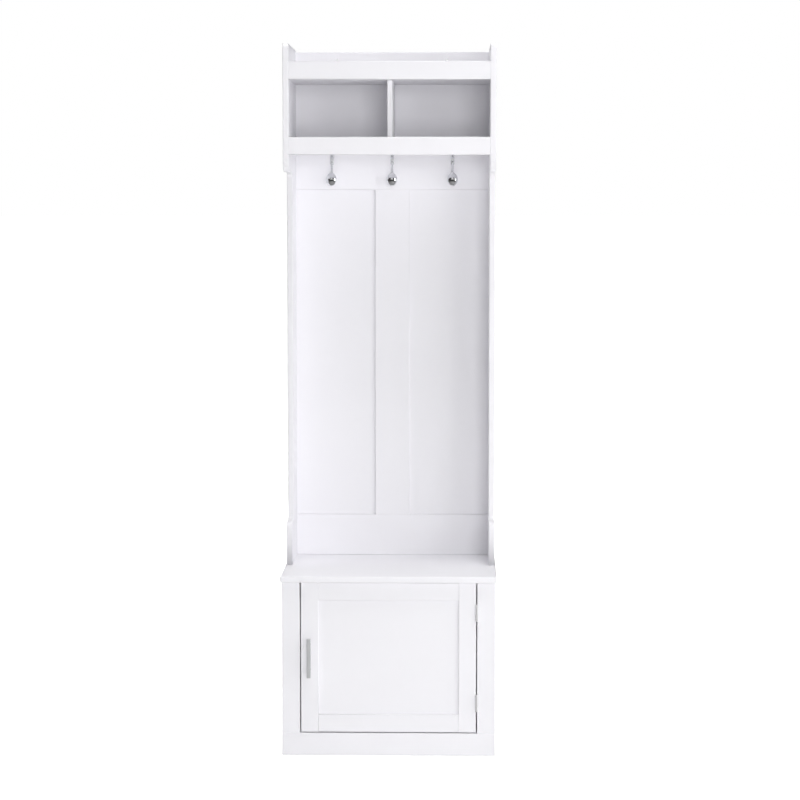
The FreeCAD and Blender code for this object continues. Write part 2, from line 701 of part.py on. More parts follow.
def cam_joints():
    """Every cam joint: mating face point, way the bolt runs to its cam, and the cam's open face."""
    joints = []
    edge = (HALF + INNER) / 2
    for hand in SIDES.values():
        inward = RIGHT * -hand
        for depth in (CAM_DEPTH, FACE_BACK - CAM_DEPTH):
            joints.append((place(hand * INNER, depth, FLOOR_PANEL_BOTTOM + BOARD / 2), inward, DOWN))
            joints.append((place(hand * edge, depth, BENCH_UNDER), DOWN, inward))
        for depth in (CAM_DEPTH, LIP_BACK - CAM_DEPTH):
            joints.append((place(hand * INNER, depth, CUBBY_FLOOR_BOTTOM + BOARD / 2), inward, DOWN))
            joints.append((place(hand * INNER, depth, TOP_LIP_BOTTOM + BOARD / 2), inward, UP))
    return joints


def cam_bolts(play=0.0):
    """Bolts that screw into one board and reach the cam in the other."""
    return [rod(point - run * (CAM_BOLT_EMBED + play), run, CAM_BOLT_EMBED + CAM_INSET + 2 * play,
                CAM_BOLT_RADIUS + play) for point, run, face in cam_joints()]


def cam_locks(play=0.0):
    """Cam discs, level with their board's open face and slotted for the bolts."""
    bolts = cam_bolts(POCKET_PLAY)
    locks = []
    for (point, run, face), bolt in zip(cam_joints(), bolts):
        top = point + run * CAM_INSET + face * (BOARD / 2)
        disc = rod(top, face * -1, CAM_HEIGHT + play, CAM_RADIUS + play)
        locks.append(disc if play else disc.cut(bolt))
    return locks


def tower_screws(play=0.0):
    """Screws up through the bench top into the upper sides."""
    edge = (HALF + INNER) / 2
    return [countersunk(place(hand * edge, depth, BENCH_UNDER), UP, TOWER_SCREW_LENGTH, play)
            for hand in SIDES.values() for depth in TOWER_SCREW_DEPTHS]


# ---------------------------------------------------------------- assembly

def cabinet_boards():
    """Fixed boards of the bench cabinet."""
    boards = {"base_bottom": base_bottom(), "base_back": base_back(), "plinth_front": plinth_front(),
              "plinth_rear": plinth_rear(), "top_stretcher_rear": stretcher(HIDDEN_PANEL),
              "top_stretcher_front": stretcher(FACE_BACK - STRETCHER_SETBACK - STRETCHER_WIDTH),
              "bench_top": bench_top()}
    for name, hand in SIDES.items():
        boards["base_side_" + name] = base_side(hand)
        boards["face_stile_" + name] = face_stile(hand)
    return boards


def upper_boards():
    """Fixed boards of the upper unit, grooved for its thin panels."""
    boards = {"top_shelf": shelf_board(TOP_LIP_BOTTOM), "cubby_floor": shelf_board(CUBBY_FLOOR_BOTTOM),
              "top_lip": lip(TOP_LIP_BOTTOM), "cubby_lip": lip(CUBBY_LIP_BOTTOM),
              "cubby_divider": cubby_divider(), "top_back_rail": top_back_rail(),
              "hook_rail": back_rail(HOOK_RAIL_BOTTOM, CUBBY_FLOOR_BOTTOM),
              "back_low_rail": back_rail(SEAT_HEIGHT, LOW_RAIL_TOP)}
    for name, hand in SIDES.items():
        boards["upper_side_" + name] = upper_side(hand)
    muntin = back_muntin()
    boards = {name: bored(board, [muntin]) for name, board in boards.items()}
    boards["back_muntin"] = muntin
    panels = {"cubby_back_panel": cubby_back_panel()}
    for name, hand in SIDES.items():
        panels["back_panel_" + name] = back_panel(hand)
    boards = {name: bored(board, list(panels.values())) for name, board in boards.items()}
    boards.update(panels)
    return boards


def door_boards():
    """Boards of the door, grooved for its panel."""
    panel = door_panel()
    frame = {"door_rail_bottom": door_rail(DOOR_BOTTOM), "door_rail_top": door_rail(DOOR_TOP - DOOR_RAIL)}
    for name, hand in SIDES.items():
        frame["door_stile_" + name] = door_stile(hand)
    frame = {name: bored(board, [panel]) for name, board in frame.items()}
    frame["door_panel"] = panel
    return frame


def metalwork():
    """Hinges, handle, hooks and catch."""
    screws = hook_screws(POCKET_PLAY)
    parts = {"door_handle": bored(door_handle(), handle_screws(POCKET_PLAY)),
             "catch_housing": catch_housing(), "catch_magnet": catch_magnet(),
             "strike_plate": strike_plate()}
    for owner in ("frame", "door"):
        for name, centre_z in HINGE_CENTRES.items():
            leaf = hinge_leaf(owner, centre_z)
            parts["hinge_leaf_" + owner + "_" + name] = bored(leaf, hinge_screws(owner, POCKET_PLAY))
    for name, centre_z in HINGE_CENTRES.items():
        parts["hinge_pin_" + name] = hinge_pin(centre_z)
    for name, x in HOOK_X.items():
        parts["hook_" + name] = bored(hook(x), screws)
        parts["hook_knob_" + name] = hook_knob(x)
    return parts


def fastener_groups(play=0.0):
    """Identical fasteners by node, or their pockets when play is given."""
    return {"base_dowels": base_dowels(play), "upper_dowels": upper_dowels(play),
            "cam_bolts": cam_bolts(play), "cam_locks": cam_locks(play), "tower_screws": tower_screws(play),
            "handle_screws": handle_screws(play), "hinge_screws_frame": hinge_screws("frame", play),
            "hinge_screws_door": hinge_screws("door", play), "catch_screws": catch_screws(play),
            "strike_screws": strike_screws(play), "hook_screws": hook_screws(play)}


def all_nodes():
    """Every node of the hall tree by name."""
    pockets = [pocket for group in fastener_groups(POCKET_PLAY).values() for pocket in group]
    boards = {**cabinet_boards(), **upper_boards(), **door_boards()}
    nodes = {name: bored(board, pockets) for name, board in boards.items()}
    nodes.update(metalwork())
    nodes.update({"inner_shelf": inner_shelf(), "shelf_pins": shelf_pins(), "foot_glides": foot_glides()})
    nodes.update({name: Part.makeCompound(group) for name, group in fastener_groups().items()})
    return nodes


def export_all():
    """Write each node to its own STEP file."""
    os.makedirs("parts", exist_ok=True)
    nodes = all_nodes()
    for name, shape in sorted(nodes.items()):
        shape.exportStep("parts/" + name + ".step")
        print(name, "solids", len(shape.Solids), "valid", shape.isValid(), "volume", round(shape.Volume))
    print("nodes", len(nodes))


export_all()
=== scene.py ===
"""Looks of a white hall tree: painted boards, a framed door, chrome coat hooks and nickel hardware.

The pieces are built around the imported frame. Lengths are metres, +Z is up and the front faces -Y.
Every place comes from a CAD node's box; the fields of the classes hold the sizes a box can't give.
"""

import json
import logging
import math
from collections.abc import Callable, Iterable
from dataclasses import dataclass
from enum import Enum

import bmesh
import bpy
from mathutils import Matrix, Vector


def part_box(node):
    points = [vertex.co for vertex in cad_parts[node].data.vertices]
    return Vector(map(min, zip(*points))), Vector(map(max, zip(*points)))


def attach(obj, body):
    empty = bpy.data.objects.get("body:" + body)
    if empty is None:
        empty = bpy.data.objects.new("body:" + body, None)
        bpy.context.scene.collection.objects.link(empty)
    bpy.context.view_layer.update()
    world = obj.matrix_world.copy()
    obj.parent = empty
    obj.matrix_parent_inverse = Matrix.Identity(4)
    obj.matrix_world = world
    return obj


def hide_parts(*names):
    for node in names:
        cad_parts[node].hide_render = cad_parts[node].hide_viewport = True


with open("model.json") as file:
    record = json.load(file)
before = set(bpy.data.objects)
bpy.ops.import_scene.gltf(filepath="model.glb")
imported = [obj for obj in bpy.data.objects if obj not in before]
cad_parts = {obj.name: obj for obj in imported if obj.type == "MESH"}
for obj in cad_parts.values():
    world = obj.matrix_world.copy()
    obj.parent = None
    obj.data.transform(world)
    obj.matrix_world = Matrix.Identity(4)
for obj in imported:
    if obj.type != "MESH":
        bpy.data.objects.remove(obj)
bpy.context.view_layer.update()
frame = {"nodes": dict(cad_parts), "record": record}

LOG = logging.getLogger("hall_tree")
TOUCH = 1e-6
ARRIS = 0.0003
RECORD = frame["record"]
BODY_OF_NODE = {node: body for body, nodes in RECORD["behaviour"]["bodies"].items() for node in nodes}
SLOT_OF_NODE = {part["node"]: part["material_slot"] for part in RECORD["subparts"]}

# A Mix node's sockets share their names between data types, so they are picked by number.
MIX_FACTOR, MIX_FLOAT_A, MIX_FLOAT_B, MIX_COLOUR_A, MIX_COLOUR_B = 0, 2, 3, 6, 7
MIX_FLOAT_RESULT, MIX_COLOUR_RESULT = 0, 2

OUTWARD = Vector((0.0, -1.0, 0.0))
UPWARD = Vector((0.0, 0.0, 1.0))
ORIGIN = Vector((0.0, 0.0, 0.0))

Colour = tuple[float, float, float, float]
EdgeTest = Callable[[bmesh.types.BMEdge], bool]


# ---------------------------------------------------------------- shader helpers

class Graph:
    """A node tree that is being wired up."""

    def __init__(self, tree: bpy.types.NodeTree) -> None:
        """Keep the tree that new nodes go into."""
        self.tree = tree

    def add(self, kind: str, inputs: dict | None = None, **settings: object) -> bpy.types.Node:
        """Add a node.

        Args:
            kind: The node's type name.
            inputs: Values or sockets by input name or number.
            settings: The node's own properties.

        Returns:
            The new node.
        """
        node = self.tree.nodes.new(kind)
        for name, value in settings.items():
            setattr(node, name, value)
        for name, value in (inputs or {}).items():
            self.feed(node, name, value)
        return node

    def feed(self, node: bpy.types.Node, name: str | int, value: object) -> None:
        """Link a socket to an input, or set the input's own value.

        Args:
            node: The node.
            name: The input's name or number.
            value: The socket to link, or the value to set.
        """
        if isinstance(value, bpy.types.NodeSocket):
            self.tree.links.new(value, node.inputs[name])
        else:
            node.inputs[name].default_value = value

    def math(self, operation: str, first: object, second: object = 0.0,
             clamp: bool = False) -> bpy.types.NodeSocket:
        """Return the result of a Math node."""
        node = self.add("ShaderNodeMath", {0: first, 1: second}, operation=operation, use_clamp=clamp)
        return node.outputs[0]

    def spread(self, value: object, low: float, high: float) -> bpy.types.NodeSocket:
        """Return a value of 0 to 1 remapped to the range low to high."""
        node = self.add("ShaderNodeMapRange", {"Value": value, "To Min": low, "To Max": high})
        return node.outputs["Result"]

    def blend(self, factor: object, first: object, second: object) -> bpy.types.NodeSocket:
        """Mix two colours.

        Args:
            factor: Share of the second colour, from 0 to 1.
            first: The first colour.
            second: The second colour.

        Returns:
            The mixed colour.
        """
        node = self.add("ShaderNodeMix", data_type="RGBA")
        self.feed(node, MIX_FACTOR, factor)
        self.feed(node, MIX_COLOUR_A, first)
        self.feed(node, MIX_COLOUR_B, second)
        return node.outputs[MIX_COLOUR_RESULT]

    def noise(self, place: object, scale: object, detail: object = 2.0) -> bpy.types.NodeSocket:
        """Return a noise value that follows the given place."""
        node = self.add("ShaderNodeTexNoise", {"Vector": place, "Scale": scale, "Detail": detail})
        return node.outputs["Fac"]

    def group(self, shared: bpy.types.NodeTree, **inputs: object) -> bpy.types.Node:
        """Place a shared group.

        Args:
            shared: The group's node tree.
            inputs: Values or sockets by input name, with underscores for spaces.

        Returns:
            The group's node.
        """
        node = self.add("ShaderNodeGroup", node_tree=shared)
        for name, value in inputs.items():
            self.feed(node, name.replace("_", " "), value)
        return node


@dataclass(frozen=True)
class SharedGroups:
    """The node groups that several finishes share, each built once.

    Attributes:
        tone: Broad soft patches of colour.
        peel: The waviness of dried paint.
        edge: Where an edge is rounded.
        dust: Thin dust on upward faces.
        grain: Long fine lines.
    """

    tone: bpy.types.NodeTree
    peel: bpy.types.NodeTree
    edge: bpy.types.NodeTree
    dust: bpy.types.NodeTree
    grain: bpy.types.NodeTree

    @classmethod
    def build(cls) -> "SharedGroups":
        """Build every group."""
        return cls(uneven_tone(), orange_peel(), rounded_edge(), settled_dust(), drawn_grain())


def new_group(name: str, inputs: dict[str, str],
              outputs: dict[str, str]) -> tuple[Graph, dict, bpy.types.Node]:
    """Start a shared node group.

    Args:
        name: The group's name.
        inputs: Socket types by input name.
        outputs: Socket types by output name.

    Returns:
        The group's graph, its input sockets by name, and its output node.
    """
    tree = bpy.data.node_groups.new(name, "ShaderNodeTree")
    for label, kind in inputs.items():
        tree.interface.new_socket(label, in_out="INPUT", socket_type="NodeSocket" + kind)
    for label, kind in outputs.items():
        tree.interface.new_socket(label, in_out="OUTPUT", socket_type="NodeSocket" + kind)
    graph = Graph(tree)
    given = graph.add("NodeGroupInput")
    return graph, {label: given.outputs[label] for label in inputs}, graph.add("NodeGroupOutput")


def uneven_tone() -> bpy.types.NodeTree:
    """Build the group that drifts a colour lighter and darker in broad soft patches.

    Returns:
        The group's node tree.
    """
    finer, broad_share, small_share = 7.0, 0.7, 0.3
    graph, given, result = new_group("uneven_tone", {"Place": "Vector", "Scale": "Float", "Amount": "Float",
                                                     "Colour": "Color", "Deep Colour": "Color"},
                                     {"Colour": "Color", "Patches": "Float"})
    broad = graph.noise(given["Place"], given["Scale"], 1.0)
    small = graph.noise(given["Place"], graph.math("MULTIPLY", given["Scale"], finer), 3.0)
    patches = graph.math("ADD", graph.math("MULTIPLY", broad, broad_share),
                         graph.math("MULTIPLY", small, small_share))
    share = graph.math("MULTIPLY", patches, given["Amount"], clamp=True)
    graph.feed(result, "Colour", graph.blend(share, given["Colour"], given["Deep Colour"]))
    graph.feed(result, "Patches", patches)
    return graph.tree


def orange_peel() -> bpy.types.NodeTree:
    """Build the group for the fine waviness that sprayed paint dries with.

    Returns:
        The group's node tree.
    """
    finer, wave_share, grit_share = 4.0, 0.8, 0.2
    graph, given, result = new_group("orange_peel", {"Place": "Vector", "Scale": "Float"},
                                     {"Height": "Float"})
    wave = graph.noise(given["Place"], given["Scale"], 1.0)
    grit = graph.noise(given["Place"], graph.math("MULTIPLY", given["Scale"], finer), 2.0)
    graph.feed(result, "Height", graph.math("ADD", graph.math("MULTIPLY", wave, wave_share),
                                            graph.math("MULTIPLY", grit, grit_share)))
    return graph.tree


def rounded_edge() -> bpy.types.NodeTree:
    """Build the group that finds rounded edges, where a surface turns off the three main directions.

    Returns:
        The group's node tree.
    """
    graph, given, result = new_group("rounded_edge", {"Normal": "Vector", "Gain": "Float"}, {"Mask": "Float"})
    size = graph.add("ShaderNodeVectorMath", {0: given["Normal"]}, operation="ABSOLUTE")
    parts = graph.add("ShaderNodeSeparateXYZ", {0: size.outputs[0]})
    widest = graph.math("MAXIMUM", parts.outputs[0], parts.outputs[1])
    widest = graph.math("MAXIMUM", widest, parts.outputs[2])
    turned = graph.math("SUBTRACT", 1.0, widest)
    graph.feed(result, "Mask", graph.math("MULTIPLY", turned, given["Gain"], clamp=True))
    return graph.tree


def settled_dust() -> bpy.types.NodeTree:
    """Build the group for the thin dust that gathers in patches on upward faces.

    Returns:
        The group's node tree.
    """
    thinnest, thickest = 0.4, 1.4
    graph, given, result = new_group("settled_dust", {"Place": "Vector", "Normal": "Vector", "Scale": "Float",
                                                      "Amount": "Float"}, {"Mask": "Float"})
    upward = graph.add("ShaderNodeSeparateXYZ", {0: given["Normal"]}).outputs[2]
    level = graph.math("MULTIPLY", graph.math("MAXIMUM", upward, 0.0), given["Amount"])
    patches = graph.spread(graph.noise(given["Place"], given["Scale"], 4.0), thinnest, thickest)
    graph.feed(result, "Mask", graph.math("MULTIPLY", level, patches, clamp=True))
    return graph.tree


def drawn_grain() -> bpy.types.NodeTree:
    """Build the group for long fine lines, as on brushed metal or along timber.

    Returns:
        The group's node tree.
    """
    sockets = {"Place": "Vector", "Stretch": "Vector", "Detail": "Float"}
    graph, given, result = new_group("drawn_grain", sockets, {"Lines": "Float"})
    pulled = graph.add("ShaderNodeVectorMath", {0: given["Place"], 1: given["Stretch"]}, operation="MULTIPLY")
    graph.feed(result, "Lines", graph.noise(pulled.outputs[0], 1.0, given["Detail"]))
    return graph.tree


def new_material(name: str) -> tuple[bpy.types.Material, Graph, bpy.types.Node, bpy.types.Node]:
    """Start a material.

    Args:
        name: The material's name.

    Returns:
        The material, its graph, its Principled shader and its Texture Coordinate node.
    """
    material = bpy.data.materials.new(name)
    material.use_nodes = True
    graph = Graph(material.node_tree)
    shader = next(node for node in graph.tree.nodes if node.type == "BSDF_PRINCIPLED")
    return material, graph, shader, graph.add("ShaderNodeTexCoord")


def bump(graph: Graph, shader: bpy.types.Node, height: bpy.types.NodeSocket, depth: float) -> None:
    """Feed a height into the shader's normal.

    Args:
        graph: The material's graph.
        shader: The Principled shader.
        height: The height, from 0 to 1.
        depth: How far a height of 1 stands out, in metres.
    """
    node = graph.add("ShaderNodeBump", {"Height": height, "Strength": 1.0, "Distance": depth})
    graph.feed(shader, "Normal", node.outputs["Normal"])


# ---------------------------------------------------------------- finishes

@dataclass(frozen=True)
class PaintFinish:
    """Sprayed satin paint on board.

    Attributes:
        name: The material's name.
        colour: The paint's colour.
        deep_colour: The colour that thicker patches drift to.
        edge_colour: The colour on rounded edges, where the paint is thin.
        roughness: Roughness on the flat faces.
        edge_roughness: What a rounded edge adds to the roughness.
        peel_scale: Waves to a metre in the dried paint.
        peel_depth: Depth of those waves in metres.
        dust: Share of dust on a level face.
        tone_scale: Broad patches of tone to a metre.
        tone_amount: How far the patches reach towards the deep colour.
        edge_gain: How soon a turned surface counts as an edge.
        edge_share: How far an edge goes to its own colour.
        dust_scale: Patches of dust to a metre.
        dust_colour: The dust's colour.
        dust_roughness: What full dust adds to the roughness.
        roughness_drift: How far the roughness drifts either way.
        ior: The paint's index of refraction.
    """

    name: str
    colour: Colour = (0.912, 0.905, 0.937, 1.0)
    deep_colour: Colour = (0.893, 0.886, 0.919, 1.0)
    edge_colour: Colour = (0.875, 0.870, 0.896, 1.0)
    roughness: float = 0.42
    edge_roughness: float = 0.12
    peel_scale: float = 420.0
    peel_depth: float = 0.00002
    dust: float = 0.05
    tone_scale: float = 3.0
    tone_amount: float = 0.8
    edge_gain: float = 2.6
    edge_share: float = 0.8
    dust_scale: float = 9.0
    dust_colour: Colour = (0.55, 0.54, 0.52, 1.0)
    dust_roughness: float = 0.6
    roughness_drift: float = 0.05
    ior: float = 1.46

    def material(self, shared: SharedGroups) -> bpy.types.Material:
        """Build the material.

        Args:
            shared: The node groups that the finishes share.

        Returns:
            The material.
        """
        material, graph, shader, where = new_material(self.name)
        place, normal = where.outputs["Object"], where.outputs["Normal"]
        tone = graph.group(shared.tone, Place=place, Scale=self.tone_scale, Amount=self.tone_amount,
                           Colour=self.colour, Deep_Colour=self.deep_colour)
        edge = graph.group(shared.edge, Normal=normal, Gain=self.edge_gain).outputs["Mask"]
        settled = graph.group(shared.dust, Place=place, Normal=normal, Scale=self.dust_scale,
                              Amount=self.dust)
        dust = settled.outputs["Mask"]
        worn = graph.blend(graph.math("MULTIPLY", edge, self.edge_share), tone.outputs["Colour"],
                           self.edge_colour)
        graph.feed(shader, "Base Color", graph.blend(dust, worn, self.dust_colour))
        flat = graph.spread(tone.outputs["Patches"], self.roughness - self.roughness_drift,
                            self.roughness + self.roughness_drift)
        rough = graph.math("ADD", flat, graph.math("MULTIPLY", edge, self.edge_roughness))
        dusty = graph.math("MULTIPLY", dust, self.dust_roughness)
        graph.feed(shader, "Roughness", graph.math("ADD", rough, dusty, clamp=True))
        peel = graph.group(shared.peel, Place=place, Scale=self.peel_scale).outputs["Height"]
        bump(graph, shader, peel, self.peel_depth)
        shader.inputs["IOR"].default_value = self.ior
        return material


class Grain(Enum):
    """Which way a finish's lines run, as waves to a metre along X, Y and Z."""

    POLISHED = (240.0, 240.0, 240.0)
    BRUSHED_UPRIGHT = (5200.0, 5200.0, 60.0)
    BRUSHED_LEVEL = (60.0, 5200.0, 5200.0)
    TUMBLED = (900.0, 900.0, 900.0)
    TIMBER_LEVEL = (60.0, 1400.0, 1400.0)


@dataclass(frozen=True)
class MetalFinish:
    """Plated or brushed metal.

    Attributes:
        name: The material's name.
        colour: The plating's colour.
        deep_colour: The colour that duller patches drift to.
        roughness: The lowest and the highest roughness between the lines.
        grain: Which way the lines run.
        grain_depth: Depth of the lines in metres.
        metallic: The shader's Metallic value. Below 1 the finish looks paler and more even.
        tone_scale: Patches of tone to a metre.
        tone_amount: How far the patches reach towards the deep colour.
        grain_detail: Layers of finer lines.
        edge_gain: How soon a turned surface counts as an edge.
        edge_polish: How much smoother an edge is, as a share of the lowest roughness.
        smoothest: The roughness that no part goes below.
    """

    name: str
    colour: Colour
    deep_colour: Colour
    roughness: tuple[float, float]
    grain: Grain
    grain_depth: float
    metallic: float = 1.0
    tone_scale: float = 60.0
    tone_amount: float = 0.7
    grain_detail: float = 3.0
    edge_gain: float = 1.6
    edge_polish: float = 0.3
    smoothest: float = 0.02

    def material(self, shared: SharedGroups) -> bpy.types.Material:
        """Build the material.

        Args:
            shared: The node groups that the finishes share.

        Returns:
            The material.
        """
        material, graph, shader, where = new_material(self.name)
        place = where.outputs["Object"]
        tone = graph.group(shared.tone, Place=place, Scale=self.tone_scale, Amount=self.tone_amount,
                           Colour=self.colour, Deep_Colour=self.deep_colour)
        lines = graph.group(shared.grain, Place=place, Stretch=self.grain.value,
                            Detail=self.grain_detail).outputs["Lines"]
        edge = graph.group(shared.edge, Normal=where.outputs["Normal"], Gain=self.edge_gain).outputs["Mask"]
        polish = graph.math("SUBTRACT", graph.spread(lines, *self.roughness),
                            graph.math("MULTIPLY", edge, self.roughness[0] * self.edge_polish))
        graph.feed(shader, "Base Color", tone.outputs["Colour"])
        graph.feed(shader, "Roughness", graph.math("MAXIMUM", polish, self.smoothest))
        bump(graph, shader, lines, self.grain_depth)
        shader.inputs["Metallic"].default_value = self.metallic
        return material


@dataclass(frozen=True)
class MouldedFinish:
    """Moulded or pressed stuff with a fine even texture: plastic and ferrite.

    Attributes:
        name: The material's name.
        colour: The colour.
        deep_colour: The colour of the texture's hollows.
        roughness: The roughness.
        texture_scale: Grains to a metre.
        texture_depth: Depth of the grains in metres.
        tone_scale: Patches of tone to a metre.
        tone_amount: How far the patches reach towards the deep colour.
        roughness_drift: How far the roughness drifts either way.
    """

    name: str
    colour: Colour
    deep_colour: Colour
    roughness: float
    texture_scale: float
    texture_depth: float = 0.00004
    tone_scale: float = 120.0
    tone_amount: float = 0.9
    roughness_drift: float = 0.06

    def material(self, shared: SharedGroups) -> bpy.types.Material:
        """Build the material.

        Args:
            shared: The node groups that the finishes share.

        Returns:
            The material.
        """
        material, graph, shader, where = new_material(self.name)
        place = where.outputs["Object"]
        tone = graph.group(shared.tone, Place=place, Scale=self.tone_scale, Amount=self.tone_amount,
                           Colour=self.colour, Deep_Colour=self.deep_colour)
        peel = graph.group(shared.peel, Place=place, Scale=self.texture_scale).outputs["Height"]
        graph.feed(shader, "Base Color", tone.outputs["Colour"])
        graph.feed(shader, "Roughness", graph.spread(peel, self.roughness - self.roughness_drift,
                                                     self.roughness + self.roughness_drift))
        bump(graph, shader, peel, self.texture_depth)
        return material


@dataclass(frozen=True)
class TimberFinish:
    """Bare turned timber with its grain along X.

    Attributes:
        name: The material's name.
        colour: The pale wood between the lines.
        deep_colour: The lines' colour.
        roughness: The lowest and the highest roughness.
        grain_detail: Layers of finer lines.
        grain_depth: Depth of the lines in metres.
    """

    name: str
    colour: Colour
    deep_colour: Colour
    roughness: tuple[float, float] = (0.55, 0.75)
    grain_detail: float = 4.0
    grain_depth: float = 0.0001

    def material(self, shared: SharedGroups) -> bpy.types.Material:
        """Build the material.

        Args:
            shared: The node groups that the finishes share.

        Returns:
            The material.
        """
        material, graph, shader, where = new_material(self.name)
        grain = graph.group(shared.grain, Place=where.outputs["Object"], Stretch=Grain.TIMBER_LEVEL.value,
                            Detail=self.grain_detail).outputs["Lines"]
        graph.feed(shader, "Base Color", graph.blend(grain, self.colour, self.deep_colour))
        graph.feed(shader, "Roughness", graph.spread(grain, *self.roughness))
        bump(graph, shader, grain, self.grain_depth)
        return material


FINISHES = {
    "white_paint": PaintFinish("satin_white_paint"),
    "polished_chrome": MetalFinish("polished_chrome", (0.80, 0.81, 0.82, 1.0), (0.70, 0.71, 0.73, 1.0),
                                   (0.035, 0.075), Grain.POLISHED, 0.000004),
    "satin_nickel": MetalFinish("satin_nickel", (0.66, 0.665, 0.68, 1.0), (0.57, 0.575, 0.59, 1.0),
                                (0.27, 0.40), Grain.BRUSHED_UPRIGHT, 0.000012, 0.35),
    "hinge_nickel": MetalFinish("hinge_nickel", (0.82, 0.82, 0.83, 1.0), (0.72, 0.72, 0.73, 1.0),
                                (0.14, 0.24), Grain.TUMBLED, 0.000006, 0.4),
    "zinc_steel": MetalFinish("zinc_steel", (0.56, 0.57, 0.58, 1.0), (0.42, 0.43, 0.44, 1.0),
                              (0.30, 0.48), Grain.TUMBLED, 0.00002),
    "white_plastic": MouldedFinish("white_plastic", (0.78, 0.78, 0.76, 1.0), (0.70, 0.70, 0.68, 1.0),
                                   0.42, 1800.0),
    "black_ferrite": MouldedFinish("black_ferrite", (0.035, 0.035, 0.037, 1.0), (0.02, 0.02, 0.021, 1.0),
                                   0.62, 2600.0),
    "beech": TimberFinish("beech_dowel", (0.62, 0.44, 0.27, 1.0), (0.46, 0.30, 0.17, 1.0)),
}


class Wardrobe:
    """The built materials by the record's slot, each made once."""

    def __init__(self) -> None:
        """Build the shared groups and every finish."""
        shared = SharedGroups.build()
        self.materials = {slot: finish.material(shared) for slot, finish in FINISHES.items()}

    def dress(self, piece: bpy.types.Object, slot: str) -> None:
        """Give a new piece the material of the record's slot."""
        piece.data.materials.append(self.materials[slot])

    def dress_carried_over(self, node: str) -> None:
        """Give a CAD node that stays in sight its material.

        Args:
            node: The CAD node's name.
        """
        piece = frame["nodes"][node]
        for place in piece.material_slots:
            place.material = self.materials[SLOT_OF_NODE[node]]


# ---------------------------------------------------------------- mesh helpers

def solid_box(low: Vector, high: Vector) -> bmesh.types.BMesh:
    """Build a closed box.

    Args:
        low: Its lowest corner.
        high: Its highest corner.

    Returns:
        The box's mesh.
    """
    mesh = bmesh.new()
    bmesh.ops.create_cube(mesh, size=1.0)
    bmesh.ops.scale(mesh, vec=high - low, verts=mesh.verts)
    bmesh.ops.translate(mesh, vec=(low + high) / 2, verts=mesh.verts)
    return mesh


def lies_at(edge: bmesh.types.BMEdge, axis: int, value: float) -> bool:
    """Whether both of an edge's ends lie at this value on an axis."""
    return all(abs(vertex.co[axis] - value) < TOUCH for vertex in edge.verts)


def round_edges(mesh: bmesh.types.BMesh, test: EdgeTest, radius: float, segments: int = 3) -> None:
    """Round the edges that a test picks.

    Args:
        mesh: The mesh to change.
        test: Says whether an edge is rounded.
        radius: The rounding's radius.
        segments: Faces across the rounding.
    """
    chosen = [edge for edge in mesh.edges if test(edge)]
    bmesh.ops.bevel(mesh, geom=chosen, offset=radius, offset_type="OFFSET", segments=segments, profile=0.5,
                    affect="EDGES", clamp_overlap=True, material=-1)


def round_corners(mesh: bmesh.types.BMesh, corner: Vector, radius: float, segments: int) -> None:
    """Round a flat outline's corner.

    Args:
        mesh: The outline's mesh.
        corner: Where the corner is.
        radius: The rounding's radius.
        segments: Edges along the rounding.
    """
    chosen = [vertex for vertex in mesh.verts if (vertex.co - corner).length < TOUCH]
    bmesh.ops.bevel(mesh, geom=chosen, offset=radius, offset_type="OFFSET", segments=segments, profile=0.5,
                    affect="VERTICES", clamp_overlap=True, material=-1)


def flat_outline(points: Iterable[Vector]) -> bmesh.types.BMesh:
    """Build a mesh with one flat face.

    Args:
        points: The face's corners in order.

    Returns:
        The face's mesh.
    """
    mesh = bmesh.new()
    mesh.faces.new([mesh.verts.new(point) for point in points])
    return mesh


def thicken(mesh: bmesh.types.BMesh, step: Vector) -> None:
    """Extrude every face of a flat mesh into a closed solid.

    Args:
        mesh: The flat mesh.
        step: The way and the distance of the extrusion.
    """
    grown = bmesh.ops.extrude_face_region(mesh, geom=list(mesh.faces), use_keep_orig=True)["geom"]
    moved = [item for item in grown if isinstance(item, bmesh.types.BMVert)]
    bmesh.ops.translate(mesh, vec=step, verts=moved)
    bmesh.ops.recalc_face_normals(mesh, faces=mesh.faces)


def facing(direction: Vector, place: Vector) -> Matrix:
    """Return the matrix that turns +Z to a direction and moves the origin to a place."""
    return Matrix.Translation(place) @ direction.to_track_quat("Z", "Y").to_matrix().to_4x4()


def turned(profile: Iterable[tuple[float, float]], direction: Vector, place: Vector,
           segments: int = 32) -> bmesh.types.BMesh:
    """Turn a profile about an axis, as on a lathe.

    Args:
        profile: Pairs of radius and height along the axis, in order.
        direction: The axis.
        place: Where the axis starts.
        segments: Faces round the axis.

    Returns:
        A closed mesh with its ends on the axis.
    """
    mesh = bmesh.new()
    line = [mesh.verts.new((radius, 0.0, height)) for radius, height in profile]
    for first, second in zip(line, line[1:]):
        mesh.edges.new((first, second))
    bmesh.ops.spin(mesh, geom=mesh.verts[:] + mesh.edges[:], cent=(0, 0, 0), axis=(0, 0, 1),
                   angle=2 * math.pi, steps=segments, use_merge=True)
    bmesh.ops.remove_doubles(mesh, verts=mesh.verts, dist=TOUCH)
    bmesh.ops.recalc_face_normals(mesh, faces=mesh.faces)
    bmesh.ops.transform(mesh, matrix=facing(direction, place), verts=mesh.verts)
    return mesh


def merged(parts: Iterable[bmesh.types.BMesh]) -> bmesh.types.BMesh:
    """Put several closed meshes into one.

    Args:
        parts: The meshes, which are used up.

    Returns:
        The mesh that holds them all.
    """
    whole = bmesh.new()
    for part in parts:
        shell = bpy.data.meshes.new("shell")
        part.to_mesh(shell)
        whole.from_mesh(shell)
        part.free()
        bpy.data.meshes.remove(shell)
    return whole


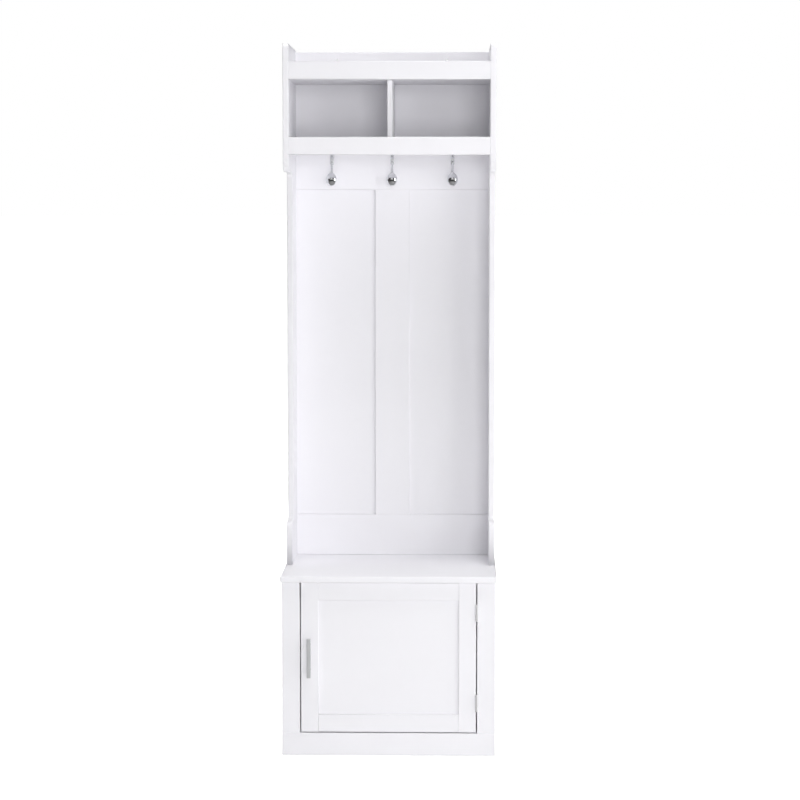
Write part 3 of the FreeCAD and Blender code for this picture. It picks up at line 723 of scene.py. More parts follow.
def shown(name: str, mesh: bmesh.types.BMesh, nodes: list[str], wardrobe: Wardrobe) -> None:
    """Make a finished mesh a piece that stands for CAD nodes and rides on their body.

    Args:
        name: The piece's name.
        mesh: The mesh, which is used up.
        nodes: The CAD nodes that it replaces, all on one body and with one material slot.
        wardrobe: The materials.
    """
    data = bpy.data.meshes.new(name)
    for face in mesh.faces:
        face.smooth = True
    mesh.to_mesh(data)
    mesh.free()
    piece = bpy.data.objects.new(name, data)
    bpy.context.scene.collection.objects.link(piece)
    weighted = piece.modifiers.new("even_shading", "WEIGHTED_NORMAL")
    weighted.weight = 100
    weighted.keep_sharp = True
    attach(piece, BODY_OF_NODE[nodes[0]])
    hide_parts(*nodes)
    wardrobe.dress(piece, SLOT_OF_NODE[nodes[0]])
    LOG.info("%s stands for %s", name, ", ".join(nodes))


# ---------------------------------------------------------------- boards

class Rounding(Enum):
    """Which of a board's edges its maker rounds; the rest only lose their arris."""

    LONG_FRONT = "the long front edges"
    FRONT = "every front edge"
    AROUND = "every edge but the back's"
    NOWHERE = "no edge"


@dataclass
class Board:
    """A straight painted board, as large as its CAD node's box.

    Attributes:
        node: The CAD node.
        rounding: Which edges are rounded.
        radius: The rounding's radius.
        between: The lower and upper boards that it ends at, where tongues make its own box longer.
    """

    node: str
    rounding: Rounding = Rounding.LONG_FRONT
    radius: float = 0.0015
    between: tuple[str, str] | None = None

    def build(self, wardrobe: Wardrobe) -> None:
        """Build and dress the board.

        Args:
            wardrobe: The materials.
        """
        low, high = self.ends()
        mesh = solid_box(low, high)
        if self.rounding is not Rounding.NOWHERE:
            round_edges(mesh, lambda edge: self.picks(edge, low, high), self.radius, 4)
        round_edges(mesh, lambda edge: self.on_planes(edge, low, high) == 2, ARRIS, 2)
        shown(self.node + "_board", mesh, [self.node], wardrobe)

    def ends(self) -> tuple[Vector, Vector]:
        """Find where the board ends, without the tongues that its box may hold.

        Returns:
            The board's lowest and highest corners.
        """
        low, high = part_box(self.node)
        if self.between:
            low.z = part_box(self.between[0])[1].z
            high.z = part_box(self.between[1])[0].z
        return low, high

    def picks(self, edge: bmesh.types.BMEdge, low: Vector, high: Vector) -> bool:
        """Say whether an edge of the plain box is rounded.

        Args:
            edge: The edge.
            low: The box's lowest corner.
            high: The box's highest corner.

        Returns:
            True if the maker rounds it.
        """
        if self.rounding is Rounding.AROUND:
            return not lies_at(edge, 1, high.y)
        along = 0 if high.x - low.x > high.z - low.z else 2
        level = abs(edge.verts[0].co[along] - edge.verts[1].co[along]) > TOUCH
        return lies_at(edge, 1, low.y) and (level or self.rounding is Rounding.FRONT)

    @staticmethod
    def on_planes(edge: bmesh.types.BMEdge, low: Vector, high: Vector) -> int:
        """Return how many of the box's six planes hold the whole edge."""
        return sum(lies_at(edge, axis, corner[axis]) for axis in range(3) for corner in (low, high))


@dataclass
class ProfiledSide:
    """A shaped side of the upper unit: foot, coat bay and overhanging cubby end.

    Attributes:
        node: The CAD node.
        foot_depth: Depth of the foot on the bench.
        foot_height: Height of the foot.
        bay_depth: Depth beside the coats.
        soffit_drop: From the top down to the cubby end's underside.
        nose_radius: Rounding at the cubby end's lower front.
        cove_radius: Hollow under the cubby end.
        foot_radius: Rounding on the foot.
        foot_cove: Hollow above the foot.
        top_radius: Rounding at the top front.
        edge_radius: Rounding along the outline.
        corner_steps: Edges along each rounded corner.
    """

    node: str
    foot_depth: float = 0.205
    foot_height: float = 0.112
    bay_depth: float = 0.140
    soffit_drop: float = 0.323
    nose_radius: float = 0.030
    cove_radius: float = 0.015
    foot_radius: float = 0.010
    foot_cove: float = 0.008
    top_radius: float = 0.010
    edge_radius: float = 0.002
    corner_steps: int = 10

    def build(self, wardrobe: Wardrobe) -> None:
        """Build and dress the side.

        Args:
            wardrobe: The materials.
        """
        low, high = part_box(self.node)
        mesh = self.outline(low, high)
        thicken(mesh, Vector((high.x - low.x, 0.0, 0.0)))
        bmesh.ops.remove_doubles(mesh, verts=mesh.verts, dist=TOUCH)
        round_edges(mesh, lambda edge: self.is_front_or_top(edge, low, high), self.edge_radius, 4)
        shown(self.node + "_board", mesh, [self.node], wardrobe)

    def outline(self, low: Vector, high: Vector) -> bmesh.types.BMesh:
        """Draw the outline on the left face, with its corners rounded.

        Args:
            low: The CAD box's lowest corner.
            high: The CAD box's highest corner.

        Returns:
            A mesh with the outline's one face.
        """
        soffit = high.z - self.soffit_drop
        foot_top = low.z + self.foot_height
        corners = [(0.0, low.z, 0.0), (self.foot_depth, low.z, 0.0),
                   (self.foot_depth, foot_top, self.foot_radius),
                   (self.bay_depth, foot_top, self.foot_cove), (self.bay_depth, soffit, self.cove_radius),
                   (high.y - low.y, soffit, self.nose_radius), (high.y - low.y, high.z, self.top_radius),
                   (0.0, high.z, 0.0)]
        points = [Vector((low.x, high.y - depth, z)) for depth, z, _ in corners]
        mesh = flat_outline(points)
        for point, (_, _, radius) in zip(points, corners):
            if radius > 0:
                round_corners(mesh, point, radius, self.corner_steps)
        return mesh

    @staticmethod
    def is_front_or_top(edge: bmesh.types.BMEdge, low: Vector, high: Vector) -> bool:
        """Whether an edge runs along the side's outline, other than at the wall or on the bench."""
        on_face = lies_at(edge, 0, low.x) or lies_at(edge, 0, high.x)
        return on_face and not lies_at(edge, 1, high.y) and not lies_at(edge, 2, low.z)


# ---------------------------------------------------------------- fittings

@dataclass(frozen=True)
class CrossHeadScrew:
    """The head of a screw with a cross recess.

    Attributes:
        radius: The head's radius.
        height: How far the head stands out, or 0 for a countersunk one.
        recess: Half the length of the recess's arms.
        arm: Width of an arm.
        depth: Depth of the recess.
        tip: Radius of the shank's flat tip, as a share of the shank's.
        rim: Height of the head's upright rim, as a share of the head's.
        dome_steps: Faces from the head's rim to its top.
        facets: Faces round the screw.
    """

    radius: float = 0.003
    height: float = 0.0016
    recess: float = 0.0015
    arm: float = 0.0006
    depth: float = 0.0009
    tip: float = 0.4
    rim: float = 0.35
    dome_steps: int = 6
    facets: int = 24

    def head(self, place: Vector, outward: Vector, shank: float,
             shank_radius: float = 0.0015) -> bmesh.types.BMesh:
        """Build the screw.

        Args:
            place: Where its axis meets the surface.
            outward: The way the head faces.
            shank: Length of the shank under the surface.
            shank_radius: Radius of the shank.

        Returns:
            A closed mesh with the recess cut in.
        """
        profile = [(0.0, -shank), (shank_radius * self.tip, -shank), (shank_radius, -shank + shank_radius)]
        if self.height > 0:
            profile += [(shank_radius, 0.0), (self.radius, 0.0), (self.radius, self.height * self.rim)]
            for step in range(1, self.dome_steps):
                turn = math.pi / 2 * step / self.dome_steps
                profile.append((self.radius * math.cos(turn),
                                self.height * (self.rim + (1 - self.rim) * math.sin(turn))))
        else:
            profile += [(shank_radius, shank_radius - self.radius), (self.radius, 0.0)]
        profile.append((0.0, self.height))
        blank = turned(profile, UPWARD, ORIGIN, self.facets)
        cut = self.with_recess(blank)
        bmesh.ops.transform(cut, matrix=facing(outward, place), verts=cut.verts)
        return cut

    def with_recess(self, blank: bmesh.types.BMesh) -> bmesh.types.BMesh:
        """Cut the cross out of a blank.

        Args:
            blank: The plain screw, its surface level at the origin. It is used up.

        Returns:
            The screw with its recess.
        """
        bottom, top = self.height - self.depth, self.height + self.depth
        for half_x, half_y in ((self.recess, self.arm / 2), (self.arm / 2, self.recess)):
            arm = solid_box(Vector((-half_x, -half_y, bottom)), Vector((half_x, half_y, top)))
            blank = without(blank, arm)
        return blank


def without(body: bmesh.types.BMesh, tool: bmesh.types.BMesh) -> bmesh.types.BMesh:
    """Cut one closed mesh out of another.

    Args:
        body: The mesh to cut, which is used up.
        tool: The shape to take away, which is used up.

    Returns:
        The cut mesh.
    """
    pieces = []
    for name, mesh in (("cut_body", body), ("cut_tool", tool)):
        data = bpy.data.meshes.new(name)
        mesh.to_mesh(data)
        mesh.free()
        piece = bpy.data.objects.new(name, data)
        bpy.context.scene.collection.objects.link(piece)
        pieces.append(piece)
    cut = pieces[0].modifiers.new("cut", "BOOLEAN")
    cut.operation = "DIFFERENCE"
    cut.solver = "EXACT"
    cut.object = pieces[1]
    shape = pieces[0].evaluated_get(bpy.context.evaluated_depsgraph_get())
    result = bmesh.new()
    result.from_mesh(shape.to_mesh())
    for piece in pieces:
        data = piece.data
        bpy.data.objects.remove(piece)
        bpy.data.meshes.remove(data)
    return result


@dataclass
class CoatHook:
    """A hook: a screw plate, a rod bent forward out of it, and an oval knob on the rod's end.

    Attributes:
        hand: Which of the three hooks this is.
        rod_radius: The rod's radius.
        bend_radius: Radius of the rod's bend.
        plate_thickness: Thickness of the plate.
        plate_height: Height of the plate.
        plate_edge: Rounding of the plate's front edge.
        rod_top: How far up the plate the rod starts, as a share of the plate's height.
        waist: How far the knob's back is drawn in towards the rod, as a share of its depth.
        plate_facets: Faces round the plate's ends.
        rod_facets: Faces round the rod.
        bend_steps: Faces along the rod's bend.
        knob_steps: Faces from the knob's front to its back.
        knob_facets: Faces round the knob.
    """

    hand: str
    rod_radius: float = 0.0025
    bend_radius: float = 0.020
    plate_thickness: float = 0.0025
    plate_height: float = 0.033
    plate_edge: float = 0.0007
    rod_top: float = 0.8
    waist: float = 0.25
    plate_facets: int = 32
    rod_facets: int = 20
    bend_steps: int = 12
    knob_steps: int = 24
    knob_facets: int = 48

    def build(self, wardrobe: Wardrobe) -> None:
        """Build and dress the hook and its knob.

        Args:
            wardrobe: The materials.
        """
        node, knob_node = "hook_" + self.hand, "hook_knob_" + self.hand
        low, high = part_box(node)
        knob_low, knob_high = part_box(knob_node)
        mesh = merged([self.plate(low, high), self.rod(high, (knob_low + knob_high) / 2)])
        shown("coat_" + node, mesh, [node], wardrobe)
        shown("coat_" + knob_node, self.knob(knob_low, knob_high), [knob_node], wardrobe)

    def plate(self, low: Vector, high: Vector) -> bmesh.types.BMesh:
        """Shape the round-ended screw plate.

        Args:
            low: The hook's lowest corner.
            high: The hook's highest corner.

        Returns:
            The plate's mesh.
        """
        half = (high.x - low.x) / 2
        centre = (low.x + high.x) / 2
        stretch = self.plate_height - 2 * half
        mesh = bmesh.new()
        bmesh.ops.create_circle(mesh, cap_ends=True, segments=self.plate_facets, radius=half)
        upper = [vertex for vertex in mesh.verts if vertex.co.y > TOUCH]
        bmesh.ops.translate(mesh, vec=(0, stretch, 0), verts=upper)
        bmesh.ops.rotate(mesh, matrix=Matrix.Rotation(math.radians(90), 3, "X"), verts=mesh.verts)
        foot = Vector((centre, high.y, high.z - self.plate_height + half))
        bmesh.ops.translate(mesh, vec=foot, verts=mesh.verts)
        thicken(mesh, Vector((0, -self.plate_thickness, 0)))
        front = high.y - self.plate_thickness
        round_edges(mesh, lambda edge: lies_at(edge, 1, front), self.plate_edge, 3)
        return mesh

    def rod(self, high: Vector, knob: Vector) -> bmesh.types.BMesh:
        """Shape the rod: down from the plate, round the bend and forward into the knob.

        Args:
            high: The hook's highest corner.
            knob: The knob's middle.

        Returns:
            The rod's mesh.
        """
        depth = high.y - self.rod_radius
        top = Vector((knob.x, depth, high.z - self.plate_height * self.rod_top))
        bend_z = knob.z + self.bend_radius
        mesh = bmesh.new()
        bmesh.ops.create_circle(mesh, cap_ends=True, segments=self.rod_facets, radius=self.rod_radius,
                                matrix=Matrix.Translation(top))
        front = self.carry_on(mesh, list(mesh.faces), Vector((0, 0, bend_z - top.z)))
        pivot = Vector((knob.x, depth - self.bend_radius, bend_z))
        spun = bmesh.ops.spin(mesh, geom=front, cent=pivot, axis=(1, 0, 0), angle=-math.pi / 2,
                              steps=self.bend_steps)
        front = [item for item in spun["geom_last"] if isinstance(item, bmesh.types.BMFace)]
        self.carry_on(mesh, front, Vector((0, knob.y - depth + self.bend_radius, 0)))
        bmesh.ops.remove_doubles(mesh, verts=mesh.verts, dist=TOUCH)
        bmesh.ops.recalc_face_normals(mesh, faces=mesh.faces)
        return mesh

    @staticmethod
    def carry_on(mesh: bmesh.types.BMesh, faces: list, step: Vector) -> list:
        """Extrude faces by a step.

        Args:
            mesh: The mesh that holds them.
            faces: The faces.
            step: The way and the distance.

        Returns:
            The faces at the far end.
        """
        grown = bmesh.ops.extrude_face_region(mesh, geom=faces, use_keep_orig=False)["geom"]
        corners = [item for item in grown if isinstance(item, bmesh.types.BMVert)]
        bmesh.ops.translate(mesh, vec=step, verts=corners)
        return [item for item in grown if isinstance(item, bmesh.types.BMFace)]

    def knob(self, low: Vector, high: Vector) -> bmesh.types.BMesh:
        """Shape the oval knob: a domed face, a soft rim and a back drawn in towards the rod.

        Args:
            low: The knob's lowest corner.
            high: The knob's highest corner.

        Returns:
            The knob's mesh.
        """
        profile = []
        for step in range(self.knob_steps + 1):
            turn = math.pi * step / self.knob_steps
            reach, depth = math.sin(turn), math.cos(turn)
            if depth < 0:
                reach *= 1 + self.waist * depth * (1 - reach)
            profile.append((reach, depth))
        mesh = turned(profile, UPWARD, ORIGIN, self.knob_facets)
        bmesh.ops.rotate(mesh, matrix=Matrix.Rotation(math.radians(90), 3, "X"), verts=mesh.verts)
        bmesh.ops.scale(mesh, vec=(high - low) / 2, verts=mesh.verts)
        bmesh.ops.translate(mesh, vec=(low + high) / 2, verts=mesh.verts)
        return mesh


@dataclass
class HookScrews:
    """The six round-headed screws through the hooks' plates.

    Attributes:
        plate_thickness: Thickness of the plates they stand on.
        shank: Length of a screw under the plate's face.
    """

    plate_thickness: float = 0.0025
    shank: float = 0.0135

    def build(self, wardrobe: Wardrobe) -> None:
        """Build and dress the screws.

        Args:
            wardrobe: The materials.
        """
        screw = CrossHeadScrew()
        screws_low, screws_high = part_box("hook_screws")
        parts = []
        for hand in ("left", "center", "right"):
            low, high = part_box("hook_" + hand)
            for height in (screws_high.z - screw.radius, screws_low.z + screw.radius):
                place = Vector(((low.x + high.x) / 2, high.y - self.plate_thickness, height))
                parts.append(screw.head(place, OUTWARD, self.shank))
        shown("hook_screw_heads", merged(parts), ["hook_screws"], wardrobe)


@dataclass
class BarHandle:
    """The door's bar handle: a square bar on two turned posts.

    Attributes:
        bar_depth: Thickness of the bar, front to back.
        edge: Rounding of the bar's front and end edges.
        centres: Distance between the posts.
        post_radius: Radius of a post.
        flange_radius: Radius of a post's foot on the door.
        flange: Thickness of that foot.
        flange_bevel: The foot's bevel, as a share of its thickness.
    """

    bar_depth: float = 0.008
    edge: float = 0.0015
    centres: float = 0.064
    post_radius: float = 0.004
    flange_radius: float = 0.0046
    flange: float = 0.0012
    flange_bevel: float = 0.3

    def build(self, wardrobe: Wardrobe) -> None:
        """Build and dress the handle.

        Args:
            wardrobe: The materials.
        """
        low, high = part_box("door_handle")
        bar_back = low.y + self.bar_depth
        bar = solid_box(low, Vector((high.x, bar_back, high.z)))
        round_edges(bar, lambda edge: not lies_at(edge, 1, bar_back), self.edge, 4)
        round_edges(bar, lambda edge: lies_at(edge, 1, bar_back), ARRIS, 2)
        middle = (low + high) / 2
        length = high.y - bar_back + ARRIS
        bevel = self.flange * self.flange_bevel
        profile = [(0.0, 0.0), (self.flange_radius, 0.0), (self.flange_radius, self.flange - bevel),
                   (self.flange_radius - bevel, self.flange), (self.post_radius, self.flange),
                   (self.post_radius, length), (0.0, length)]
        feet = [Vector((middle.x, high.y, middle.z + side * self.centres / 2)) for side in (-1, 1)]
        posts = [turned(profile, OUTWARD, foot) for foot in feet]
        shown("bar_handle", merged([bar, *posts]), ["door_handle"], wardrobe)


@dataclass
class ButtHinge:
    """One butt hinge: two leaves with rolled knuckles and a headed pin.

    Attributes:
        level: Which hinge of the door this is.
        leaf: Thickness of a leaf.
        knuckle_radius: Radius of a knuckle.
        gap: Running gap between knuckles.
        pin_radius: Radius of the pin's heads.
        head_rise: Thickness of the pin's heads.
        stem_radius: Radius of the pin between its heads.
        crown: Radius and height where a head's flat crown ends, as shares of the head's own.
        shoulder: Height where a head reaches its full radius, as a share of its thickness.
        knuckle_facets: Faces round a knuckle.
        pin_facets: Faces round the pin.
    """

    level: str
    leaf: float = 0.0011
    knuckle_radius: float = 0.00275
    gap: float = 0.0003
    pin_radius: float = 0.00225
    head_rise: float = 0.0012
    stem_radius: float = 0.00135
    crown: tuple[float, float] = (0.7, 0.2)
    shoulder: float = 0.7
    knuckle_facets: int = 28
    pin_facets: int = 24

    def build(self, wardrobe: Wardrobe) -> None:
        """Build and dress both leaves and the pin.

        Args:
            wardrobe: The materials.
        """
        pin_low, pin_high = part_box("hinge_pin_" + self.level)
        axis = (pin_low + pin_high) / 2
        frame_low, frame_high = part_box("hinge_leaf_frame_" + self.level)
        height = frame_high.z - frame_low.z
        third = height / 3
        spans = {"frame": ((0.0, third - self.gap / 2), (2 * third + self.gap / 2, height)),
                 "door": ((third + self.gap / 2, 2 * third - self.gap / 2),)}
        for owner, ranges in spans.items():
            node = "hinge_leaf_" + owner + "_" + self.level
            low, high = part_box(node)
            parts = [self.plate(low, high, axis, owner, ranges, frame_low.z)]
            for start, end in ranges:
                parts.append(self.knuckle(Vector((axis.x, axis.y, frame_low.z + start)), end - start))
            shown(node + "_plate", merged(parts), [node], wardrobe)
        pin_node = "hinge_pin_" + self.level
        shown(pin_node + "_heads", self.pin(pin_low, pin_high, axis), [pin_node], wardrobe)

    def plate(self, low: Vector, high: Vector, axis: Vector, owner: str, ranges: Iterable,
              base_z: float) -> bmesh.types.BMesh:
        """Shape a leaf's flat plate, with a tongue to each of its knuckles.

        Args:
            low: The leaf's lowest corner.
            high: The leaf's highest corner.
            axis: The pin's middle.
            owner: Whose leaf, the frame's or the door's.
            ranges: Where each of its knuckles starts and ends above the hinge's foot.
            base_z: Height of the hinge's foot.

        Returns:
            The plate's mesh.
        """
        wood_x = high.x if owner == "frame" else low.x
        inner_x = wood_x - self.leaf if owner == "frame" else wood_x + self.leaf
        near_x, far_x = sorted((wood_x, inner_x))
        front = axis.y + self.knuckle_radius + self.gap
        plate = solid_box(Vector((near_x, front, low.z)), Vector((far_x, high.y, high.z)))
        round_edges(plate, lambda edge: True, ARRIS / 2, 2)
        parts = [plate]
        for start, end in ranges:
            parts.append(solid_box(Vector((near_x, axis.y, base_z + start)),
                                   Vector((far_x, front + ARRIS, base_z + end))))
        return merged(parts)

    def knuckle(self, foot: Vector, length: float) -> bmesh.types.BMesh:
        """Shape one knuckle's barrel with softened rims.

        Args:
            foot: The middle of its lower end.
            length: Its length.

        Returns:
            The knuckle's mesh.
        """
        rim = self.knuckle_radius - ARRIS
        profile = [(0.0, 0.0), (rim, 0.0), (self.knuckle_radius, ARRIS),
                   (self.knuckle_radius, length - ARRIS), (rim, length), (0.0, length)]
        return turned(profile, UPWARD, foot, self.knuckle_facets)

    def pin(self, low: Vector, high: Vector, axis: Vector) -> bmesh.types.BMesh:
        """Shape the pin with its two domed heads.

        Args:
            low: The pin's lowest corner.
            high: The pin's highest corner.
            axis: The pin's middle.

        Returns:
            The pin's mesh.
        """
        half = (high.z - low.z) / 2
        dome = [(0.0, 0.0), (self.pin_radius * self.crown[0], self.head_rise * self.crown[1]),
                (self.pin_radius, self.head_rise * self.shoulder), (self.pin_radius, self.head_rise),
                (self.stem_radius, self.head_rise)]
        profile = [(radius, height - half) for radius, height in dome]
        profile += [(radius, half - height) for radius, height in reversed(dome)]
        return turned(profile, UPWARD, axis, self.pin_facets)


@dataclass
class HingeScrews:
    """Countersunk screws through the hinges' leaves.

    Attributes:
        owner: Whose leaves, the frame's or the door's.
        rise: Height of a screw above and below the hinge's middle.
        leaf: Thickness of a leaf.
        shank: Length of a screw.
        recess_depth: Depth of a screw's recess.
    """

    owner: str
    rise: float = 0.013
    leaf: float = 0.0011
    shank: float = 0.013
    recess_depth: float = 0.0006

    def build(self, wardrobe: Wardrobe) -> None:
        """Build and dress the owner's four screws.

        Args:
            wardrobe: The materials.
        """
        screw = CrossHeadScrew(height=0.0, depth=self.recess_depth)
        outward = Vector((-1 if self.owner == "frame" else 1, 0, 0))
        screws_low, screws_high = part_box("hinge_screws_" + self.owner)
        parts = []
        for level in ("lower", "upper"):
            low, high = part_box("hinge_leaf_" + self.owner + "_" + level)
            wood_x = high.x if self.owner == "frame" else low.x
            for side in (-1, 1):
                place = Vector((wood_x + outward.x * self.leaf, (screws_low.y + screws_high.y) / 2,
                                (low.z + high.z) / 2 + side * self.rise))
                parts.append(screw.head(place, outward, self.shank))
        node = "hinge_screws_" + self.owner
        shown(node + "_heads", merged(parts), [node], wardrobe)


# ---------------------------------------------------------------- sub-assemblies

@dataclass
class BenchCabinet:
    """The bench: top, face stiles and plinth; its inner boards stay as the frame gives them.

    Attributes:
        bench_edge: Rounding of the bench top's edges.
        stile_edge: Rounding of the face stiles' front edges.
        plinth_edge: Rounding of the plinth's front edges.
    """

    bench_edge: float = 0.003
    stile_edge: float = 0.0008
    plinth_edge: float = 0.0015

    def build(self, wardrobe: Wardrobe) -> None:
        """Build and dress the cabinet's visible boards.

        Args:
            wardrobe: The materials.
        """
        Board("bench_top", Rounding.AROUND, self.bench_edge).build(wardrobe)
        Board("plinth_front", Rounding.FRONT, self.plinth_edge).build(wardrobe)
        for hand in ("left", "right"):
            Board("face_stile_" + hand, Rounding.LONG_FRONT, self.stile_edge).build(wardrobe)


@dataclass
class CupboardDoor:
    """The framed door with its handle and hinges.

    Attributes:
        frame_edge: Rounding of the door frame's front edges.
    """

    frame_edge: float = 0.0008

    def build(self, wardrobe: Wardrobe) -> None:
        """Build and dress the door.

        Args:
            wardrobe: The materials.
        """
        for node in ("door_stile_left", "door_stile_right", "door_rail_bottom", "door_rail_top"):
            Board(node, Rounding.LONG_FRONT, self.frame_edge).build(wardrobe)
        Board("door_panel", Rounding.NOWHERE).build(wardrobe)
        BarHandle().build(wardrobe)
        for level in ("lower", "upper"):
            ButtHinge(level).build(wardrobe)
        for owner in ("frame", "door"):
            HingeScrews(owner).build(wardrobe)


@dataclass
class UpperUnit:
    """The shaped sides, lips, framed back and coat hooks.

    Attributes:
        lip_edge: Rounding of the lips' and the divider's front edges.
        back_edge: Rounding of the framed back's front edges.
    """

    lip_edge: float = 0.0015
    back_edge: float = 0.0008

    def build(self, wardrobe: Wardrobe) -> None:
        """Build and dress the upper unit.

        Args:
            wardrobe: The materials.
        """
        for hand in ("left", "right"):
            ProfiledSide("upper_side_" + hand).build(wardrobe)
            Board("back_panel_" + hand, Rounding.NOWHERE).build(wardrobe)
        for node in ("top_lip", "cubby_lip", "cubby_divider"):
            Board(node, Rounding.LONG_FRONT, self.lip_edge).build(wardrobe)
        rails = ("back_low_rail", "hook_rail")
        for node in rails:
            Board(node, Rounding.LONG_FRONT, self.back_edge).build(wardrobe)
        Board("back_muntin", Rounding.LONG_FRONT, self.back_edge, rails).build(wardrobe)
        Board("cubby_back_panel", Rounding.NOWHERE).build(wardrobe)
        for hand in ("left", "center", "right"):
            CoatHook(hand).build(wardrobe)
        HookScrews().build(wardrobe)


# ---------------------------------------------------------------- studio

@dataclass(frozen=True)
class SoftLight:
    """A rectangular area light that faces the hall tree's middle.

    Attributes:
        name: The light's name.
        azimuth: Degrees to the right of straight in front.
        elevation: Degrees above the level of the point it faces.
        distance: How far it stands from that point.
        size: Its width and height.
        power: Its power in watts.
        mirrored: Whether polished metal shows it.
    """

    name: str
    azimuth: float
    elevation: float
    distance: float
    size: tuple[float, float]
    power: float
    mirrored: bool = True

    def build(self, target: Vector) -> None:
        """Hang the light.

        Args:
            target: The point it faces.
        """
        data = bpy.data.lights.new(self.name, "AREA")
        data.shape = "RECTANGLE"
        data.size, data.size_y = self.size
        data.energy = self.power
        turn, rise = math.radians(self.azimuth), math.radians(self.elevation)
        level = math.cos(rise)
        away = Vector((math.sin(turn) * level, -math.cos(turn) * level, math.sin(rise)))
        light = bpy.data.objects.new(self.name, data)
        light.location = target + away * self.distance
        light.rotation_euler = (-away).to_track_quat("-Z", "Y").to_euler()
        light.visible_glossy = self.mirrored
        bpy.context.scene.collection.objects.link(light)


SOFT_LIGHTS = (
    SoftLight("front_fill", 8.0, 5.0, 5.0, (2.0, 2.0), 80.0, False),
    SoftLight("key", 46.0, 8.0, 3.5, (1.36, 1.0), 22.0),
    SoftLight("side", 70.0, 10.0, 3.5, (1.5, 2.0), 22.0),
    SoftLight("high_front", 30.0, 60.0, 6.0, (3.0, 3.0), 30.0, False),
    SoftLight("overhead", 0.0, 85.0, 6.0, (4.0, 4.0), 300.0, False),
    SoftLight("behind", 200.0, 15.0, 5.0, (2.5, 2.5), 70.0, False),
)


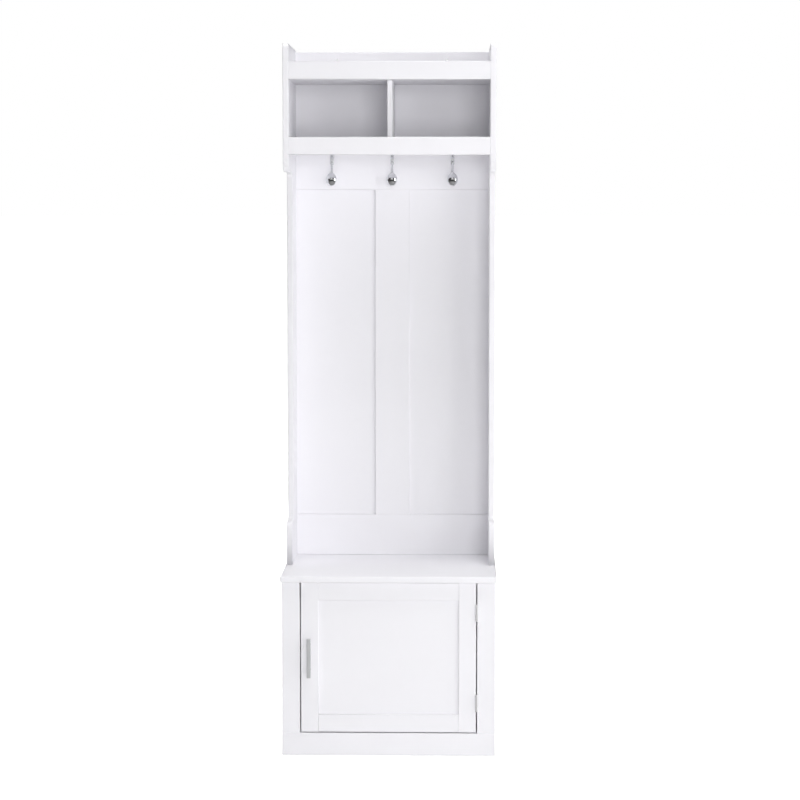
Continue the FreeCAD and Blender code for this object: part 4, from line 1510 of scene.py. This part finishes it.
@dataclass
class Studio:
    """Camera, floor, sky and soft lights.

    Attributes:
        eye: The camera's place.
        aim: The point it looks at.
        lens: Focal length in millimetres.
        sensor: The sensor's width in millimetres.
        sight: How far the camera sees.
        floor_half: Half the floor's width.
        light_target: The point that every light faces.
        floor_colour: The floor's colour.
        floor_pale_colour: The paler colour that it drifts to in patches.
        floor_painted_reflection: A darker colour that the floor takes for glossy rays only: painted dark
            reflections of the floor in polished metal.
        floor_patches: Patches of tone on the floor to a metre.
        floor_roughness: The floor's roughness.
        fill: Strength of the light from all around.
        window: Where the bright patch that polished metal mirrors in front ends and where it is full,
            as the cosine of the angle off straight in front.
        mirror_dark: Strength of the rest that polished metal mirrors.
        mirror_bright: Strength of the bright patch.
    """

    eye: Vector = Vector((0.1682, -6.06, 1.3847))
    aim: Vector = Vector((0.0295, -0.192, 0.9071))
    lens: float = 105.98
    sensor: float = 36.0
    sight: float = 1000.0
    floor_half: float = 400.0
    light_target: Vector = Vector((0.0, 0.0, 1.0))
    floor_colour: Colour = (0.90, 0.90, 0.90, 1.0)
    floor_pale_colour: Colour = (0.92, 0.92, 0.92, 1.0)
    floor_painted_reflection: Colour = (0.30, 0.30, 0.30, 1.0)
    floor_patches: float = 3.0
    floor_roughness: float = 0.9
    fill: float = 0.08
    window: tuple[float, float] = (0.93, 0.985)
    mirror_dark: float = 0.05
    mirror_bright: float = 0.75

    def build(self) -> None:
        """Build the studio."""
        self.camera()
        self.floor()
        self.sky()
        for light in SOFT_LIGHTS:
            light.build(self.light_target)
        bpy.context.scene.view_settings.view_transform = "Standard"

    def camera(self) -> None:
        """Stand the camera in front, a little to the right."""
        data = bpy.data.cameras.new("camera")
        data.lens = self.lens
        data.sensor_width = self.sensor
        data.clip_end = self.sight
        camera = bpy.data.objects.new("camera", data)
        camera.location = self.eye
        camera.rotation_euler = (self.aim - self.eye).to_track_quat("-Z", "Y").to_euler()
        bpy.context.scene.collection.objects.link(camera)
        bpy.context.scene.camera = camera

    @staticmethod
    def staged(name: str, mesh: bmesh.types.BMesh, material: bpy.types.Material) -> None:
        """Add a studio object that is no part of the hall tree.

        Args:
            name: The object's name.
            mesh: Its mesh, which is used up.
            material: Its material.
        """
        data = bpy.data.meshes.new(name)
        mesh.to_mesh(data)
        mesh.free()
        data.materials.append(material)
        stage = bpy.data.objects.new(name, data)
        bpy.context.scene.collection.objects.link(stage)

    def floor(self) -> None:
        """Lay the pale floor. The camera sees it as white as the sky behind it, and polished metal mirrors it
        darker, as painted dark reflections.
        """
        mesh = bmesh.new()
        bmesh.ops.create_grid(mesh, x_segments=2, y_segments=2, size=self.floor_half)
        material, graph, shader, where = new_material("pale_floor")
        patches = graph.noise(where.outputs["Object"], self.floor_patches)
        colour = graph.blend(patches, self.floor_colour, self.floor_pale_colour)
        path = graph.add("ShaderNodeLightPath")
        # Glossy rays see the floor in a darker colour than it has: painted dark reflections for polished
        # metal.
        mirrored = graph.blend(path.outputs["Is Glossy Ray"], colour, self.floor_painted_reflection)
        graph.feed(shader, "Base Color", mirrored)
        shader.inputs["Roughness"].default_value = self.floor_roughness
        shader.inputs["Emission Color"].default_value = (1.0, 1.0, 1.0, 1.0)
        graph.feed(shader, "Emission Strength", path.outputs["Is Camera Ray"])
        self.staged("floor", mesh, material)

    def sky(self) -> None:
        """Surround the set: white for the camera, faint as light, and a bright patch for polished metal."""
        world = bpy.data.worlds.new("soft_white")
        bpy.context.scene.world = world
        world.use_nodes = True
        graph = Graph(world.node_tree)
        background = next(node for node in graph.tree.nodes if node.type == "BACKGROUND")
        path = graph.add("ShaderNodeLightPath")
        aim = graph.add("ShaderNodeTexCoord").outputs["Generated"]
        ahead = graph.add("ShaderNodeVectorMath", {0: aim, 1: tuple(OUTWARD)}, operation="DOT_PRODUCT")
        window = graph.add("ShaderNodeMapRange", {"Value": ahead.outputs["Value"], "From Min": self.window[0],
                                                  "From Max": self.window[1], "To Min": self.mirror_dark,
                                                  "To Max": self.mirror_bright})
        mirrored = graph.add("ShaderNodeMix", {MIX_FACTOR: path.outputs["Is Glossy Ray"],
                                               MIX_FLOAT_A: self.fill,
                                               MIX_FLOAT_B: window.outputs["Result"]})
        strength = graph.add("ShaderNodeMix", {MIX_FACTOR: path.outputs["Is Camera Ray"],
                                               MIX_FLOAT_A: mirrored.outputs[MIX_FLOAT_RESULT],
                                               MIX_FLOAT_B: 1.0})
        graph.feed(background, "Strength", strength.outputs[MIX_FLOAT_RESULT])
        background.inputs["Color"].default_value = (1.0, 1.0, 1.0, 1.0)


def main() -> None:
    """Build the studio and every sub-assembly, and dress what the frame gives."""
    logging.basicConfig(level=logging.INFO, format="%(message)s")
    Studio().build()
    wardrobe = Wardrobe()
    for assembly in (BenchCabinet(), CupboardDoor(), UpperUnit()):
        LOG.info("building %s", type(assembly).__name__)
        assembly.build(wardrobe)
    for node, piece in frame["nodes"].items():
        if not piece.hide_render:
            wardrobe.dress_carried_over(node)
            LOG.info("%s is carried over", node)


if __name__ == "__main__":
    main()
